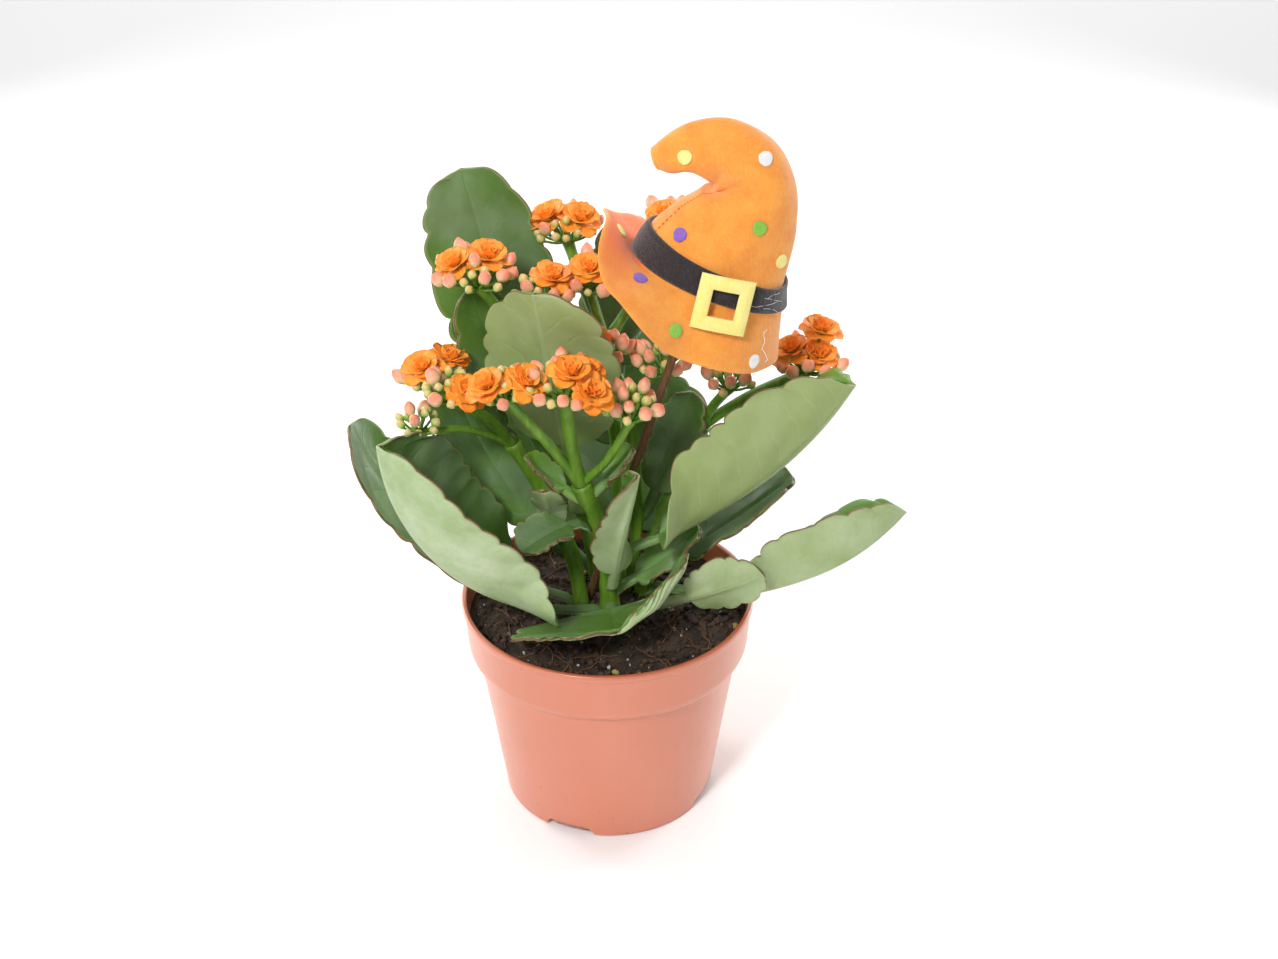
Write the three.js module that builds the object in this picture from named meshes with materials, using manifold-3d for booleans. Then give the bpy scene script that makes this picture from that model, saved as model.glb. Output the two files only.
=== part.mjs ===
// A flowering kalanchoe in a plastic nursery pot, with a felt witch's hat on a wooden stick.
// Millimetres, +Z up. The origin is the centre of the pot's foot, on the surface it stands on.
// The plant is laid out above the soil: heights in its tables are counted from the soil's top.
import * as THREE from "three";
import { mergeVertices } from "three/addons/utils/BufferGeometryUtils.js";
import Module from "manifold-3d";

const wasm = await Module();
wasm.setup();

// ---- driving dimensions ----
const GAP = 0.3; // clearance between pieces that touch
const POT_RADIUS = 60; // outside, at the rim
const POT_HEIGHT = 93;
const POT_WALL = 1.3;
const COLLAR_HEIGHT = 22; // the straight band under the rim
const COLLAR_TAPER = 2.6; // how much narrower the collar is at its lower edge
const COLLAR_STEP = 3.4; // from the collar's lower edge in to the body
const FOOT_RADIUS = 44;
const FOOT_RISE = 4; // the floor's height above the surface
const FOOT_NOTCHES = 4;
const NOTCH_TURN = 23; // degrees round from midway between the axes
const NOTCH_WIDTH = 20;
const NOTCH_DEPTH = 3.2;
const PAD_RADIUS = 9; // flat pad under the middle of the floor
const DRAIN_HOLES = 6;
const DRAIN_RADIUS = 4;
const SOIL_DROP = 8; // soil surface below the rim
const SOIL_MOUND = 2; // how much higher the soil is in the middle
const STEM_SIDES = 6;
const STEM_DEPTH = 14; // how far stems reach into the soil
const LEAF_THICKNESS = 2.4; // at the midrib
const LEAF_EDGE = 1.3; // at the margin
const PETIOLE_WIDTH = 5;
const LEAF_LOBES = 5; // scallops on each side
const LOBE_DEPTH = 0.1; // share of the half width
const BLOOM_RADIUS = 7;
const BUD_RADIUS = 2.6;
const BUD_LENGTH = 7;
const PEDICEL_RADIUS = 0.9;
const STICK_RADIUS = 1.7;
const STICK_DEPTH = 40; // how far the stick is pushed into the soil
const FELT = 1.4; // felt thickness
const HAT_RADIUS = 30; // half the cone's width at the crease where the brim starts
const HAT_FLATNESS = 0.72; // the hat's depth over its width
const BRIM_WIDTH = 23;
const BAND_HEIGHT = 10;
const BUCKLE_SIZE = 20.5;
const BUCKLE_WINDOW = 10;
const DOT_RADIUS = 2.7;

const SOIL_TOP = POT_HEIGHT - SOIL_DROP;
const rad = THREE.MathUtils.degToRad;
const V = (x, y, z) => new THREE.Vector3(x, y, z);

// ---- materials ----
const paint = (color, roughness) =>
  new THREE.MeshStandardMaterial({ color, roughness, metalness: 0 });
const TERRACOTTA = paint(0xd9775a, 0.45);
const SOIL = paint(0x35231a, 1);
const STEM_GREEN = paint(0x5c9a32, 0.5);
const LEAF_GREEN = paint(0x3f6b2c, 0.45);
const PETAL_ORANGE = paint(0xf26a12, 0.6);
const WOOD = paint(0x9c6a3c, 0.8);
const FELT_ORANGE = paint(0xf58a1f, 0.95);
const FELT_BLACK = paint(0x2b2226, 0.95);
const FELT_YELLOW = paint(0xf3e35a, 0.95);

// ---- solids ----
// A closed mesh's geometry as a manifold, and back.
function solid(geometry) {
  const bare = geometry.clone();
  bare.deleteAttribute("normal");
  bare.deleteAttribute("uv");
  const merged = mergeVertices(bare, 1e-4);
  const made = new wasm.Manifold(
    new wasm.Mesh({
      numProp: 3,
      vertProperties: new Float32Array(merged.attributes.position.array),
      triVerts: new Uint32Array(merged.index.array),
    }),
  );
  return made;
}

function geometryOf(manifold) {
  const mesh = manifold.getMesh();
  const geometry = new THREE.BufferGeometry();
  geometry.setAttribute("position", new THREE.BufferAttribute(mesh.vertProperties, 3));
  geometry.setIndex(new THREE.BufferAttribute(mesh.triVerts, 1));
  geometry.computeVertexNormals();
  return geometry;
}

const union = (solids) => solids.reduce((a, b) => a.add(b));

const root = new THREE.Group();
function addMesh(name, geometry, material) {
  const mesh = new THREE.Mesh(geometry, material);
  mesh.name = name;
  root.add(mesh);
  return mesh;
}

// A round bar along a curve.
function bar(curve, radius, steps, sides = STEM_SIDES) {
  const section = new THREE.Shape();
  for (let i = 0; i < sides; i++) {
    const a = (2 * Math.PI * i) / sides;
    if (i === 0) section.moveTo(radius * Math.cos(a), radius * Math.sin(a));
    else section.lineTo(radius * Math.cos(a), radius * Math.sin(a));
  }
  return new THREE.ExtrudeGeometry(section, { steps, extrudePath: curve, bevelEnabled: false });
}

// A solid of revolution about Z, from [radius, height] pairs that start and end on the axis.
function turned(profile, segments) {
  const points = profile.map(([r, z]) => new THREE.Vector2(r, z));
  return new THREE.LatheGeometry(points, segments).rotateX(Math.PI / 2);
}

// Turns a piece made along +Z so that it starts at `from` and points along `direction`.
function aim(geometry, from, direction) {
  const turn = new THREE.Quaternion().setFromUnitVectors(V(0, 0, 1), direction.clone().normalize());
  return geometry.applyQuaternion(turn).translate(from.x, from.y, from.z);
}

// Unit vector heading `azimuth` degrees round from +X, `pitch` degrees above level.
function heading(azimuth, pitch) {
  const c = Math.cos(rad(pitch));
  return V(c * Math.cos(rad(azimuth)), c * Math.sin(rad(azimuth)), Math.sin(rad(pitch)));
}

// ---- pot and soil ----
const bodyTopZ = POT_HEIGHT - COLLAR_HEIGHT;
const collarFoot = POT_RADIUS - COLLAR_TAPER;
const bodyTop = collarFoot - COLLAR_STEP;

// Inside radius of the pot at a height.
function insideRadius(z) {
  const taper = (bodyTop - FOOT_RADIUS) * (z / bodyTopZ);
  const body = FOOT_RADIUS + taper;
  const collar = collarFoot + (COLLAR_TAPER * (z - bodyTopZ)) / COLLAR_HEIGHT;
  return (z < bodyTopZ ? body : collar) - POT_WALL;
}

function pot() {
  const ROUND = 32;
  const floorTop = FOOT_RISE + POT_WALL;
  const shell = solid(
    turned(
      [
        [0, FOOT_RISE],
        [FOOT_RADIUS - 3 * POT_WALL, FOOT_RISE],
        [FOOT_RADIUS - 2 * POT_WALL, 0],
        [FOOT_RADIUS, 0],
        [bodyTop, bodyTopZ - COLLAR_STEP],
        [collarFoot, bodyTopZ],
        [POT_RADIUS, POT_HEIGHT],
        [POT_RADIUS - POT_WALL, POT_HEIGHT],
        [collarFoot - POT_WALL, bodyTopZ + POT_WALL],
        [bodyTop - POT_WALL, bodyTopZ - COLLAR_STEP + POT_WALL],
        [insideRadius(floorTop), floorTop],
        [0, floorTop],
      ],
      ROUND,
    ),
  );
  const pad = solid(turned([[0, 0], [PAD_RADIUS, 0], [PAD_RADIUS, floorTop], [0, floorTop]], 16));
  let made = shell.add(pad);
  for (let i = 0; i < FOOT_NOTCHES; i++) {
    const a = (2 * Math.PI * (i + 0.5)) / FOOT_NOTCHES + rad(NOTCH_TURN);
    const notch = new THREE.BoxGeometry(6 * POT_WALL, NOTCH_WIDTH, 2 * NOTCH_DEPTH);
    notch.translate(FOOT_RADIUS - POT_WALL, 0, 0).rotateZ(a);
    made = made.subtract(solid(notch));
  }
  const holeRing = (PAD_RADIUS + FOOT_RADIUS - 2 * POT_WALL) / 2;
  for (let i = 0; i < DRAIN_HOLES; i++) {
    const a = (2 * Math.PI * i) / DRAIN_HOLES;
    const hole = new THREE.CylinderGeometry(DRAIN_RADIUS, DRAIN_RADIUS, 4 * FOOT_RISE, 8);
    hole.rotateX(Math.PI / 2).translate(holeRing * Math.cos(a), holeRing * Math.sin(a), 0);
    made = made.subtract(solid(hole));
  }
  return made;
}

// The soil, with a close hole for every stem and for the stick.
function soilPlug() {
  const bottom = FOOT_RISE + POT_WALL + GAP;
  const kink = bodyTopZ - COLLAR_STEP + POT_WALL;
  const edge = SOIL_TOP - SOIL_MOUND;
  let made = solid(
    turned(
      [
        [0, bottom],
        [insideRadius(bottom) - GAP, bottom],
        [bodyTop - POT_WALL - 2 * GAP, kink],
        [collarFoot - POT_WALL - 2 * GAP, bodyTopZ + POT_WALL + GAP],
        [insideRadius(edge) - 2 * GAP, edge],
        [0.55 * POT_RADIUS, SOIL_TOP - 0.3 * SOIL_MOUND],
        [0, SOIL_TOP],
      ],
      32,
    ),
  );
  const reach = 1.15; // the six-sided hole clears the stem's corners
  for (const stem of Object.values(STEMS)) {
    made = made.subtract(solid(bar(trunkCurve(stem, GAP), stem.radius * reach + GAP, 6)));
  }
  return made.subtract(solid(bar(stickLine(2 * GAP), STICK_RADIUS * reach + GAP, 1)));
}

// ---- stems ----
// Each stem is a trunk out of the soil with stalks that carry the flower heads. Heights are above the soil.
const STEMS = {
  front_stem: {
    radius: 3.3,
    trunk: [[1, -4], [0, -5, 22], [-4, -8, 48], [-10, -10, 66]],
    stalks: [
      { radius: 2.5, to: [[-13, -16, 86], [-15, -26, 112]] },
      { radius: 2.1, to: [[-22, -17, 88], [-36, -24, 110]] },
      { radius: 1.7, to: [[0, -15, 79], [9, -19, 98]] },
    ],
  },
  left_stem: {
    radius: 3,
    trunk: [[-11, 2], [-15, 8, 22], [-28, 13, 52], [-38, 12, 72]],
    stalks: [
      { radius: 2.3, to: [[-50, 9, 86], [-66, 5, 101]] },
      { radius: 1.9, to: [[-46, 0, 90], [-58, -12, 104]] },
      { radius: 1.5, to: [[-56, 2, 84], [-71, -7, 88]] },
    ],
  },
  back_left_stem: {
    radius: 3,
    trunk: [[-4, 17], [-10, 24, 30], [-22, 24, 80], [-30, 19, 108]],
    stalks: [
      { radius: 2.2, to: [[-38, 17, 124], [-48, 15, 139]] },
      { radius: 2.2, to: [[-28, 14, 122], [-24, 10, 134]] },
    ],
  },
  back_stem: {
    radius: 3,
    trunk: [[4, 24], [5, 32, 40], [2, 34, 80], [0, 34, 106]],
    stalks: [
      { radius: 2.2, to: [[-8, 40, 124], [-15, 47, 143]] },
      { radius: 2.2, to: [[13, 44, 124], [26, 50, 143]] },
      { radius: 2, to: [[-3, 26, 120], [-6, 18, 136]] },
    ],
  },
  right_stem: {
    radius: 3.1,
    trunk: [[14, 10], [21, 22, 24], [31, 33, 52], [39, 34, 68]],
    stalks: [
      { radius: 2, to: [[43, 28, 80], [48, 19, 92]] },
      { radius: 2.2, to: [[58, 33, 82], [78, 23, 98]] },
    ],
  },
  middle_stem: {
    radius: 2.4,
    trunk: [[9, 15], [12, 20, 30], [10, 22, 66], [9, 22, 84]],
    stalks: [
      { radius: 1.7, to: [[6, 17, 97], [1, 13, 108]] },
      { radius: 1.7, to: [[14, 19, 94], [21, 14, 102]] },
    ],
  },
};

const above = ([x, y, z]) => V(x, y, SOIL_TOP + z);

function trunkCurve({ trunk }, deeper = 0) {
  const [[x, y], ...rest] = trunk;
  const foot = V(x, y, SOIL_TOP - STEM_DEPTH - deeper);
  return new THREE.CatmullRomCurve3([foot, above([x, y, 0]), ...rest.map(above)]);
}

// The hat's stick, from inside the cone down into the soil.
function stickLine(deeper = 0) {
  const down = STICK_FOOT.clone().sub(STICK_HEAD).normalize();
  const foot = STICK_FOOT.clone().addScaledVector(down, STICK_DEPTH + deeper);
  return new THREE.LineCurve3(foot, STICK_HEAD.clone());
}

function stalkCurve(stem, stalk) {
  const fork = above(stem.trunk.at(-1));
  return new THREE.CatmullRomCurve3([fork, ...stalk.to.map(above)]);
}

function stemSolid(stem) {
  const parts = [solid(bar(trunkCurve(stem), stem.radius, 6))];
  parts.push(solid(new THREE.IcosahedronGeometry(stem.radius * 1.25, 0).translate(...above(stem.trunk.at(-1)))));
  for (const stalk of stem.stalks) parts.push(solid(bar(stalkCurve(stem, stalk), stalk.radius, 3, 5)));
  return union(parts);
}

// The point of a trunk at a height above the soil.
function trunkAt(stem, height) {
  const curve = trunkCurve(stem);
  let low = 0;
  let high = 1;
  for (let i = 0; i < 24; i++) {
    const mid = (low + high) / 2;
    if (curve.getPoint(mid).z < SOIL_TOP + height) low = mid;
    else high = mid;
  }
  return curve.getPoint(low);
}

const STICK_FOOT = V(-8, 8, SOIL_TOP);
const STICK_HEAD = V(40, -8, SOIL_TOP + 168);

// ---- leaves ----
// turn: heading round from +X; rise: pitch at the base; bend: change of pitch to the tip; swing: change of turn.
// roll lifts the left side; left and right: how far each half is folded up at its margin, from `fold` at the midrib.
const LEAVES = {
  tall_left: {
    stem: "back_left_stem", height: 62, turn: 148, rise: 66, bend: 8, length: 118, width: 50,
    fold: 4, left: 12, right: 12, roll: -55,
  },
  round_left: {
    stem: "back_left_stem", height: 44, turn: 186, rise: 66, bend: 6, length: 98, width: 30,
    fold: 4, left: 12, right: 12, roll: -62, petiole: 0.42,
  },
  far_left: {
    stem: "left_stem", height: 24, turn: 158, swing: 12, rise: 43, bend: 32, length: 92, width: 30,
    fold: 5, left: 15, right: 15, roll: -62,
  },
  centre_back: {
    stem: "back_left_stem", height: 36, turn: 250, swing: -20, rise: 73, bend: 4, length: 116,
    width: 56, fold: 6, left: 18, right: 2, roll: 12, petiole: 0.34,
  },
  fold_left: {
    stem: "front_stem", height: 4, turn: 202, rise: 8, bend: 79, length: 136, width: 84, fold: 30,
    left: 66, right: 58, swing: -22,
  },
  low_left: {
    stem: "left_stem", height: 3, turn: 172, rise: 12, bend: 58, length: 120, width: 44, fold: 0,
    left: 5, right: 24, roll: 0,
  },
  front: {
    stem: "front_stem", height: 8, turn: -85, rise: 12, bend: 14, length: 38, width: 84, left: 62,
    right: 0, roll: 8, fold: 6,
  },
  low_front: {
    stem: "front_stem", height: 3, turn: -22, rise: 24, bend: 8, length: 66, width: 26, fold: 8,
    left: 0, right: 20, swing: 10, roll: -75, petiole: 0.48,
  },
  low_right: {
    stem: "right_stem", height: 5, turn: -28, rise: 6, bend: 36, length: 117, width: 52, fold: 72,
    left: -20, right: 95, swing: 62, petiole: 0.34,
  },
  fold_right: {
    stem: "front_stem", height: 32, turn: 0, rise: 18, bend: 44, length: 122, width: 76, fold: 62,
    left: -45, right: 92, petiole: 0.15,
  },
  dark_right: { stem: "right_stem", height: 12, turn: 6, rise: 28, bend: 14, length: 66, width: 38 },
  small_fold: {
    stem: "front_stem", height: 18, turn: -72, rise: 69, bend: 8, length: 64, width: 26, fold: 15,
    left: 110, right: 10, swing: 56,
  },
  bract_right: { stem: "front_stem", height: 63, turn: 6, rise: 46, bend: 10, length: 22, width: 20 },
  drooping: { stem: "front_stem", height: 48, turn: 208, rise: 0, bend: -30, length: 26, width: 26 },
  cupped: {
    stem: "front_stem", height: 14, turn: 8, rise: 28, bend: 20, length: 40, width: 26, left: 40,
    right: 10,
  },
  dark_upright: {
    stem: "middle_stem", height: 34, turn: 30, rise: 62, bend: 10, length: 54, width: 24, roll: 40,
  },
  behind_hat: {
    stem: "back_stem", height: 80, turn: 75, rise: 62, bend: 6, length: 72, width: 40, roll: 20,
  },
  bract_left: { stem: "left_stem", height: 36, turn: 258, rise: 60, bend: 0, length: 30, width: 16 },
  bract_inner: { stem: "front_stem", height: 60, turn: 168, rise: 35, bend: 10, length: 24, width: 16 },
  back_low: {
    stem: "back_stem", height: 5, turn: 95, rise: 18, bend: 36, length: 92, width: 56, left: 40,
    right: 40,
  },
  back_right: {
    stem: "right_stem", height: 10, turn: 82, rise: 26, bend: 34, length: 84, width: 46, left: 45,
    right: 30,
  },
  back_left: {
    stem: "back_left_stem", height: 8, turn: 138, rise: 20, bend: 36, length: 90, width: 52,
    left: 35, right: 45,
  },
  back_tall: {
    stem: "back_stem", height: 40, turn: 90, rise: 50, bend: 20, length: 88, width: 46, left: 40,
    right: 40,
  },
};
const RELAXED = { swing: 0, roll: 0, twist: 0, fold: 12, left: 25, right: 25, petiole: 0.16, wave: 0.6 };
const leaves = Object.entries(LEAVES).map(([name, own]) => ({ name, ...RELAXED, ...own }));

const smooth = (a, b, x) => {
  const t = Math.min(1, Math.max(0, (x - a) / (b - a)));
  return t * t * (3 - 2 * t);
};

// Positions and frames along a leaf's midrib.
function midrib(leaf, steps) {
  const stem = STEMS[leaf.stem];
  const out = heading(leaf.turn, 0);
  const start = trunkAt(stem, leaf.height).addScaledVector(out, stem.radius + PETIOLE_WIDTH / 2 + GAP);
  const frames = [];
  const point = start.clone();
  for (let i = 0; i <= steps; i++) {
    const s = i / steps;
    const azimuth = leaf.turn + leaf.swing * s * s;
    const along = heading(azimuth, leaf.rise + leaf.bend * s);
    const side = heading(azimuth + 90, 0);
    const normal = along.clone().cross(side);
    const roll = rad(leaf.roll + leaf.twist * s);
    const left = side.clone().multiplyScalar(Math.cos(roll)).addScaledVector(normal, Math.sin(roll));
    frames.push({ point: point.clone(), along, left, up: along.clone().cross(left) });
    point.addScaledVector(along, leaf.length / steps);
  }
  return frames;
}

// Half width of the blade where its outline has been followed round by `angle` from base (0) to tip (pi).
function halfWidth(leaf, angle) {
  const oval = Math.pow(Math.max(0, Math.sin(angle)), 0.6);
  const lobe = Math.pow(Math.abs(Math.sin(LEAF_LOBES * angle)), 0.6);
  const scallop = 1 - LOBE_DEPTH * smooth(0.3, 0.8, angle) * (1 - lobe);
  return Math.max(PETIOLE_WIDTH / 2, (leaf.width / 2) * oval * scallop);
}

// A leaf's point at share s of its length and v across it (-1 right margin, 1 left margin), h off its middle surface.
function leafPoint(leaf, frames, s, w, v, h) {
  const reach = (2 * v * w) / leaf.width;
  const bow = 0.04 * reach * reach * s * s; // rows curve back towards the margins
  const f = frames[Math.round(Math.min(1, s - bow) * (frames.length - 1))];
  const open = smooth(leaf.petiole * 0.5, leaf.petiole + 0.25, s);
  const fold = rad(leaf.fold) * open;
  const edge = rad(v > 0 ? leaf.left : leaf.right) * open;
  const bendAcross = edge - fold;
  const q = Math.abs(v);
  const turn = fold + bendAcross * q;
  const flat = Math.abs(bendAcross) < 1e-3;
  const across = flat ? q * Math.cos(fold) : (Math.sin(turn) - Math.sin(fold)) / bendAcross;
  const lift = flat ? q * Math.sin(fold) : (Math.cos(fold) - Math.cos(turn)) / bendAcross;
  const wave = leaf.wave * q * q * Math.sin(2 * Math.PI * (2.2 * s + (v > 0 ? 0 : 0.4))) * open;
  const side = Math.sign(v);
  const room = 0.5 * w * Math.max(0, across); // keeps both halves apart where the tip narrows
  const tilt = Math.max(-room, Math.min(room, h * Math.sin(turn)));
  return f.point
    .clone()
    .addScaledVector(f.left, side * (w * across - tilt))
    .addScaledVector(f.up, w * lift + wave + h * Math.cos(turn));
}

function leafGeometry(leaf) {
  const FRAMES = 200;
  const ROWS = 2 + 2 * LEAF_LOBES;
  const frames = midrib(leaf, FRAMES);
  const box = new THREE.BoxGeometry(2, ROWS, 2, 4, ROWS, 1);
  const position = box.attributes.position;
  for (let i = 0; i < position.count; i++) {
    const row = Math.round(position.getY(i) + ROWS / 2);
    const angle = (Math.PI * Math.max(0, row - 2)) / (ROWS - 2);
    const blade = Math.pow((1 - Math.cos(angle)) / 2, 0.9);
    const s = row < 2 ? (leaf.petiole * row) / 2 : leaf.petiole + (1 - leaf.petiole) * blade;
    const v = -position.getX(i);
    const stalk = 1 - smooth(leaf.petiole * 0.7, leaf.petiole + 0.15, s);
    const thick = LEAF_THICKNESS + (LEAF_EDGE - LEAF_THICKNESS) * Math.abs(v) + 1.6 * stalk;
    const p = leafPoint(leaf, frames, s, halfWidth(leaf, angle), v, (position.getZ(i) * thick) / 2);
    position.setXYZ(i, p.x, p.y, p.z);
  }
  return box;
}


// ---- flower heads ----
// Each head sits on one stalk. Blooms are given from the stalk's end; buds fill the rest of the dome.
const HEADS = {
  head_front: {
    stem: "front_stem", stalk: 0, spread: 15, lift: 8, buds: 7, blooms: [[3, -4, 12], [10, -8, 6],
    [8, 2, 9]],
  },
  head_front_left: {
    stem: "front_stem", stalk: 1, spread: 9.5, lift: 8, buds: 8, blooms: [[8, -3, 8], [-6, -3, 7]],
  },
  head_small: { stem: "front_stem", stalk: 2, spread: 9, lift: 9, buds: 10, blooms: [] },
  head_left: { stem: "left_stem", stalk: 1, spread: 9, lift: 7, buds: 7, blooms: [[6, -4, 5]] },
  head_left_back: {
    stem: "left_stem", stalk: 0, spread: 10, lift: 7, buds: 7, blooms: [[-3, -4, 9], [6, 4, 9]],
  },
  head_low_left: { stem: "left_stem", stalk: 2, spread: 7, lift: 7, buds: 9, blooms: [] },
  head_upper_left: {
    stem: "back_left_stem", stalk: 0, spread: 13, lift: 9, buds: 9, blooms: [[-8, -2, 9], [4, 0,
    11]],
  },
  head_upper: { stem: "back_left_stem", stalk: 1, spread: 10, lift: 8, buds: 8, blooms: [[3, 0, 10]] },
  head_top: { stem: "back_stem", stalk: 0, spread: 11, lift: 9, buds: 8, blooms: [[-7, 0, 9], [5, -2, 9]] },
  head_back: {
    stem: "back_stem", stalk: 1, spread: 14, lift: 9, buds: 8, blooms: [[-4, -2, 10], [8, 0, 8]],
  },
  head_middle: { stem: "back_stem", stalk: 2, spread: 10, lift: 8, buds: 8, blooms: [[0, -3, 9]] },
  head_shade: { stem: "middle_stem", stalk: 0, spread: 7, lift: 7, buds: 7, blooms: [[-5, -2, 8]] },
  head_inner: { stem: "middle_stem", stalk: 1, spread: 9, lift: 8, buds: 9, blooms: [] },
  head_under_hat: { stem: "right_stem", stalk: 0, spread: 8, lift: 5, buds: 8, blooms: [] },
  head_right: {
    stem: "right_stem", stalk: 1, spread: 11, lift: 8, buds: 7, blooms: [[4, -3, 8], [5, 1, 17],
    [-6, -1, 9]],
  },
};

// A fat spindle, closed at both ends.
function bud() {
  const r = BUD_RADIUS;
  return turned([[0, -0.8], [r, 0.5 * BUD_LENGTH], [0, BUD_LENGTH]], 5);
}

// A double flower as one low rosette.
function bloom() {
  const r = BLOOM_RADIUS;
  const rosette = turned([[0, -2.2], [r, 0.2 * r], [0.5 * r, 0.6 * r], [0, 0.55 * r]], 10);
  const p = rosette.attributes.position;
  for (let i = 0; i < p.count; i++) {
    const a = Math.atan2(p.getY(i), p.getX(i));
    const petal = 0.9 + 0.1 * Math.cos(5 * a);
    p.setXY(i, p.getX(i) * petal, p.getY(i) * petal);
  }
  return rosette;
}

function headSolid(head) {
  const stem = STEMS[head.stem];
  const curve = stalkCurve(stem, stem.stalks[head.stalk]);
  const end = curve.getPoint(1);
  const out = curve.getTangent(1);
  const hub = end.clone().addScaledVector(out, GAP + 2);
  const parts = [solid(aim(turned([[0, 0], [1.3, 0], [2, 2], [0, 4]], 6), end.clone().addScaledVector(out, GAP), out))];
  const taken = [];
  const carry = (tip, piece, size) => {
    const direction = tip.clone().sub(hub).normalize();
    const line = new THREE.LineCurve3(hub, tip.clone().addScaledVector(direction, 0.8));
    parts.push(solid(bar(line, PEDICEL_RADIUS, 1, 3)));
    const upright = direction.clone().add(V(0, -0.25, 0.9)).normalize();
    parts.push(solid(aim(piece, tip, size > 4 ? upright : direction)));
    taken.push({ tip, size });
  };
  for (const [x, y, z] of head.blooms) carry(hub.clone().add(V(x, y, z)), bloom(), BLOOM_RADIUS);
  for (let i = 0; taken.length < head.blooms.length + head.buds && i < 60; i++) {
    const fromAxis = rad(80) * Math.sqrt(((i * 7) % 23) / 23);
    const round = i * 2.399963;
    const offset = V(Math.sin(fromAxis) * Math.cos(round), Math.sin(fromAxis) * Math.sin(round), 0);
    offset.multiplyScalar(head.spread).add(V(0, 0, head.lift * (0.4 + Math.cos(fromAxis))));
    const tip = hub.clone().add(offset);
    const clear = taken.every((t) => t.tip.distanceTo(tip) > BUD_RADIUS * 2.1 + (t.size > 4 ? 4.5 : 0));
    if (clear) carry(tip, bud(), BUD_RADIUS);
  }
  return union(parts);
}

// ---- hat ----
const HAT_AT = V(39, -8, 240); // middle of the crease between cone and brim
const HAT_TILT = 21; // the crease's slope, right side down
// The cone's centre line and half width, from the crease to the drooping tip, as [x, z, half width].
const HAT_SPINE = [
  [0, 0, HAT_RADIUS],
  [3, 9, 0.92 * HAT_RADIUS],
  [9, 20, 0.78 * HAT_RADIUS],
  [14, 30, 0.62 * HAT_RADIUS],
  [15, 38, 0.53 * HAT_RADIUS],
  [11.5, 45, 0.48 * HAT_RADIUS],
  [3, 50, 0.42 * HAT_RADIUS],
  [-7, 51, 0.31 * HAT_RADIUS],
  [-15, 49, 0.24 * HAT_RADIUS],
  [-20, 47.5, 0.15 * HAT_RADIUS],
];

// Centre, sideways direction and half width of the cone at step k of its spine.
function hatRing(k) {
  const last = HAT_SPINE.length - 1;
  const low = Math.min(last - 1, Math.floor(k));
  const mix = (i) => HAT_SPINE[low][i] + (HAT_SPINE[low + 1][i] - HAT_SPINE[low][i]) * (k - low);
  const tangentAt = (i) => {
    const before = HAT_SPINE[Math.max(0, i - 1)];
    const after = HAT_SPINE[Math.min(last, i + 1)];
    return V(after[0] - before[0], 0, after[1] - before[1]).normalize();
  };
  const tangent = tangentAt(low).lerp(tangentAt(low + 1), k - low).normalize();
  if (k === 0) tangent.set(Math.sin(rad(HAT_TILT)), 0, Math.cos(rad(HAT_TILT)));
  const side = V(tangent.z, 0, -tangent.x);
  return { centre: V(mix(0), 0, mix(1)).add(HAT_AT), side, tangent, half: mix(2) };
}

// A point of the cone: step k, angle from the right hand side through the back, h out of its outer face.
function hatPoint(k, angle, h) {
  const { centre, side, half } = hatRing(k);
  const a = half + h;
  const b = half * HAT_FLATNESS + h;
  return centre.addScaledVector(side, a * Math.cos(angle)).add(V(0, b * Math.sin(angle), 0));
}

function hatCone() {
  const last = HAT_SPINE.length - 1;
  const steps = [];
  for (let k = last; k >= 0; k--) steps.push([k, 0]);
  for (let k = 0; k <= last - 2; k++) steps.push([k, -FELT]);
  const profile = [[0, 3], ...steps.map((_, i) => [1, 2 - i * 0.1]), [0, -3]];
  const SEGMENTS = 16;
  const made = new THREE.LatheGeometry(profile.map(([r, y]) => new THREE.Vector2(r, y)), SEGMENTS);
  const p = made.attributes.position;
  const uv = made.attributes.uv;
  for (let i = 0; i < p.count; i++) {
    const row = Math.round(uv.getY(i) * (profile.length - 1));
    const angle = (-2 * Math.PI * (Math.round(uv.getX(i) * SEGMENTS) % SEGMENTS)) / SEGMENTS;
    let at;
    if (row === 0) at = hatRing(last).centre.addScaledVector(hatRing(last).tangent, 1.5);
    else if (row === profile.length - 1) at = hatRing(last - 2).centre;
    else at = hatPoint(steps[row - 1][0], angle, steps[row - 1][1]);
    p.setXYZ(i, at.x, at.y, at.z);
  }
  return made;
}

// A closed ring: corner(j, angle) gives the four corners of its section round the hat.
function ring(segments, corner) {
  const made = new THREE.TorusGeometry(2, 1, 4, segments);
  const p = made.attributes.position;
  const uv = made.attributes.uv;
  for (let i = 0; i < p.count; i++) {
    const j = Math.round(uv.getY(i) * 4) % 4;
    const angle = (2 * Math.PI * (Math.round(uv.getX(i) * segments) % segments)) / segments;
    const at = corner(j, angle);
    p.setXYZ(i, at.x, at.y, at.z);
  }
  return made;
}

// How far the brim is turned out from hanging straight down, in degrees, round the hat.
const BRIM_FLARE = [16, 30, 60, 96, 128, 80, 22, 18];
// Its width round the hat, as a share of the full width.
const BRIM_REACH = [1, 1, 0.95, 0.85, 0.78, 0.95, 1, 1];
function roundBrim(values, angle) {
  const n = values.length;
  const t = (((angle / (2 * Math.PI)) % 1) + 1) % 1 * n;
  const i = Math.floor(t);
  const s = smooth(0, 1, t - i);
  return values[i % n] * (1 - s) + values[(i + 1) % n] * s;
}

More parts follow.
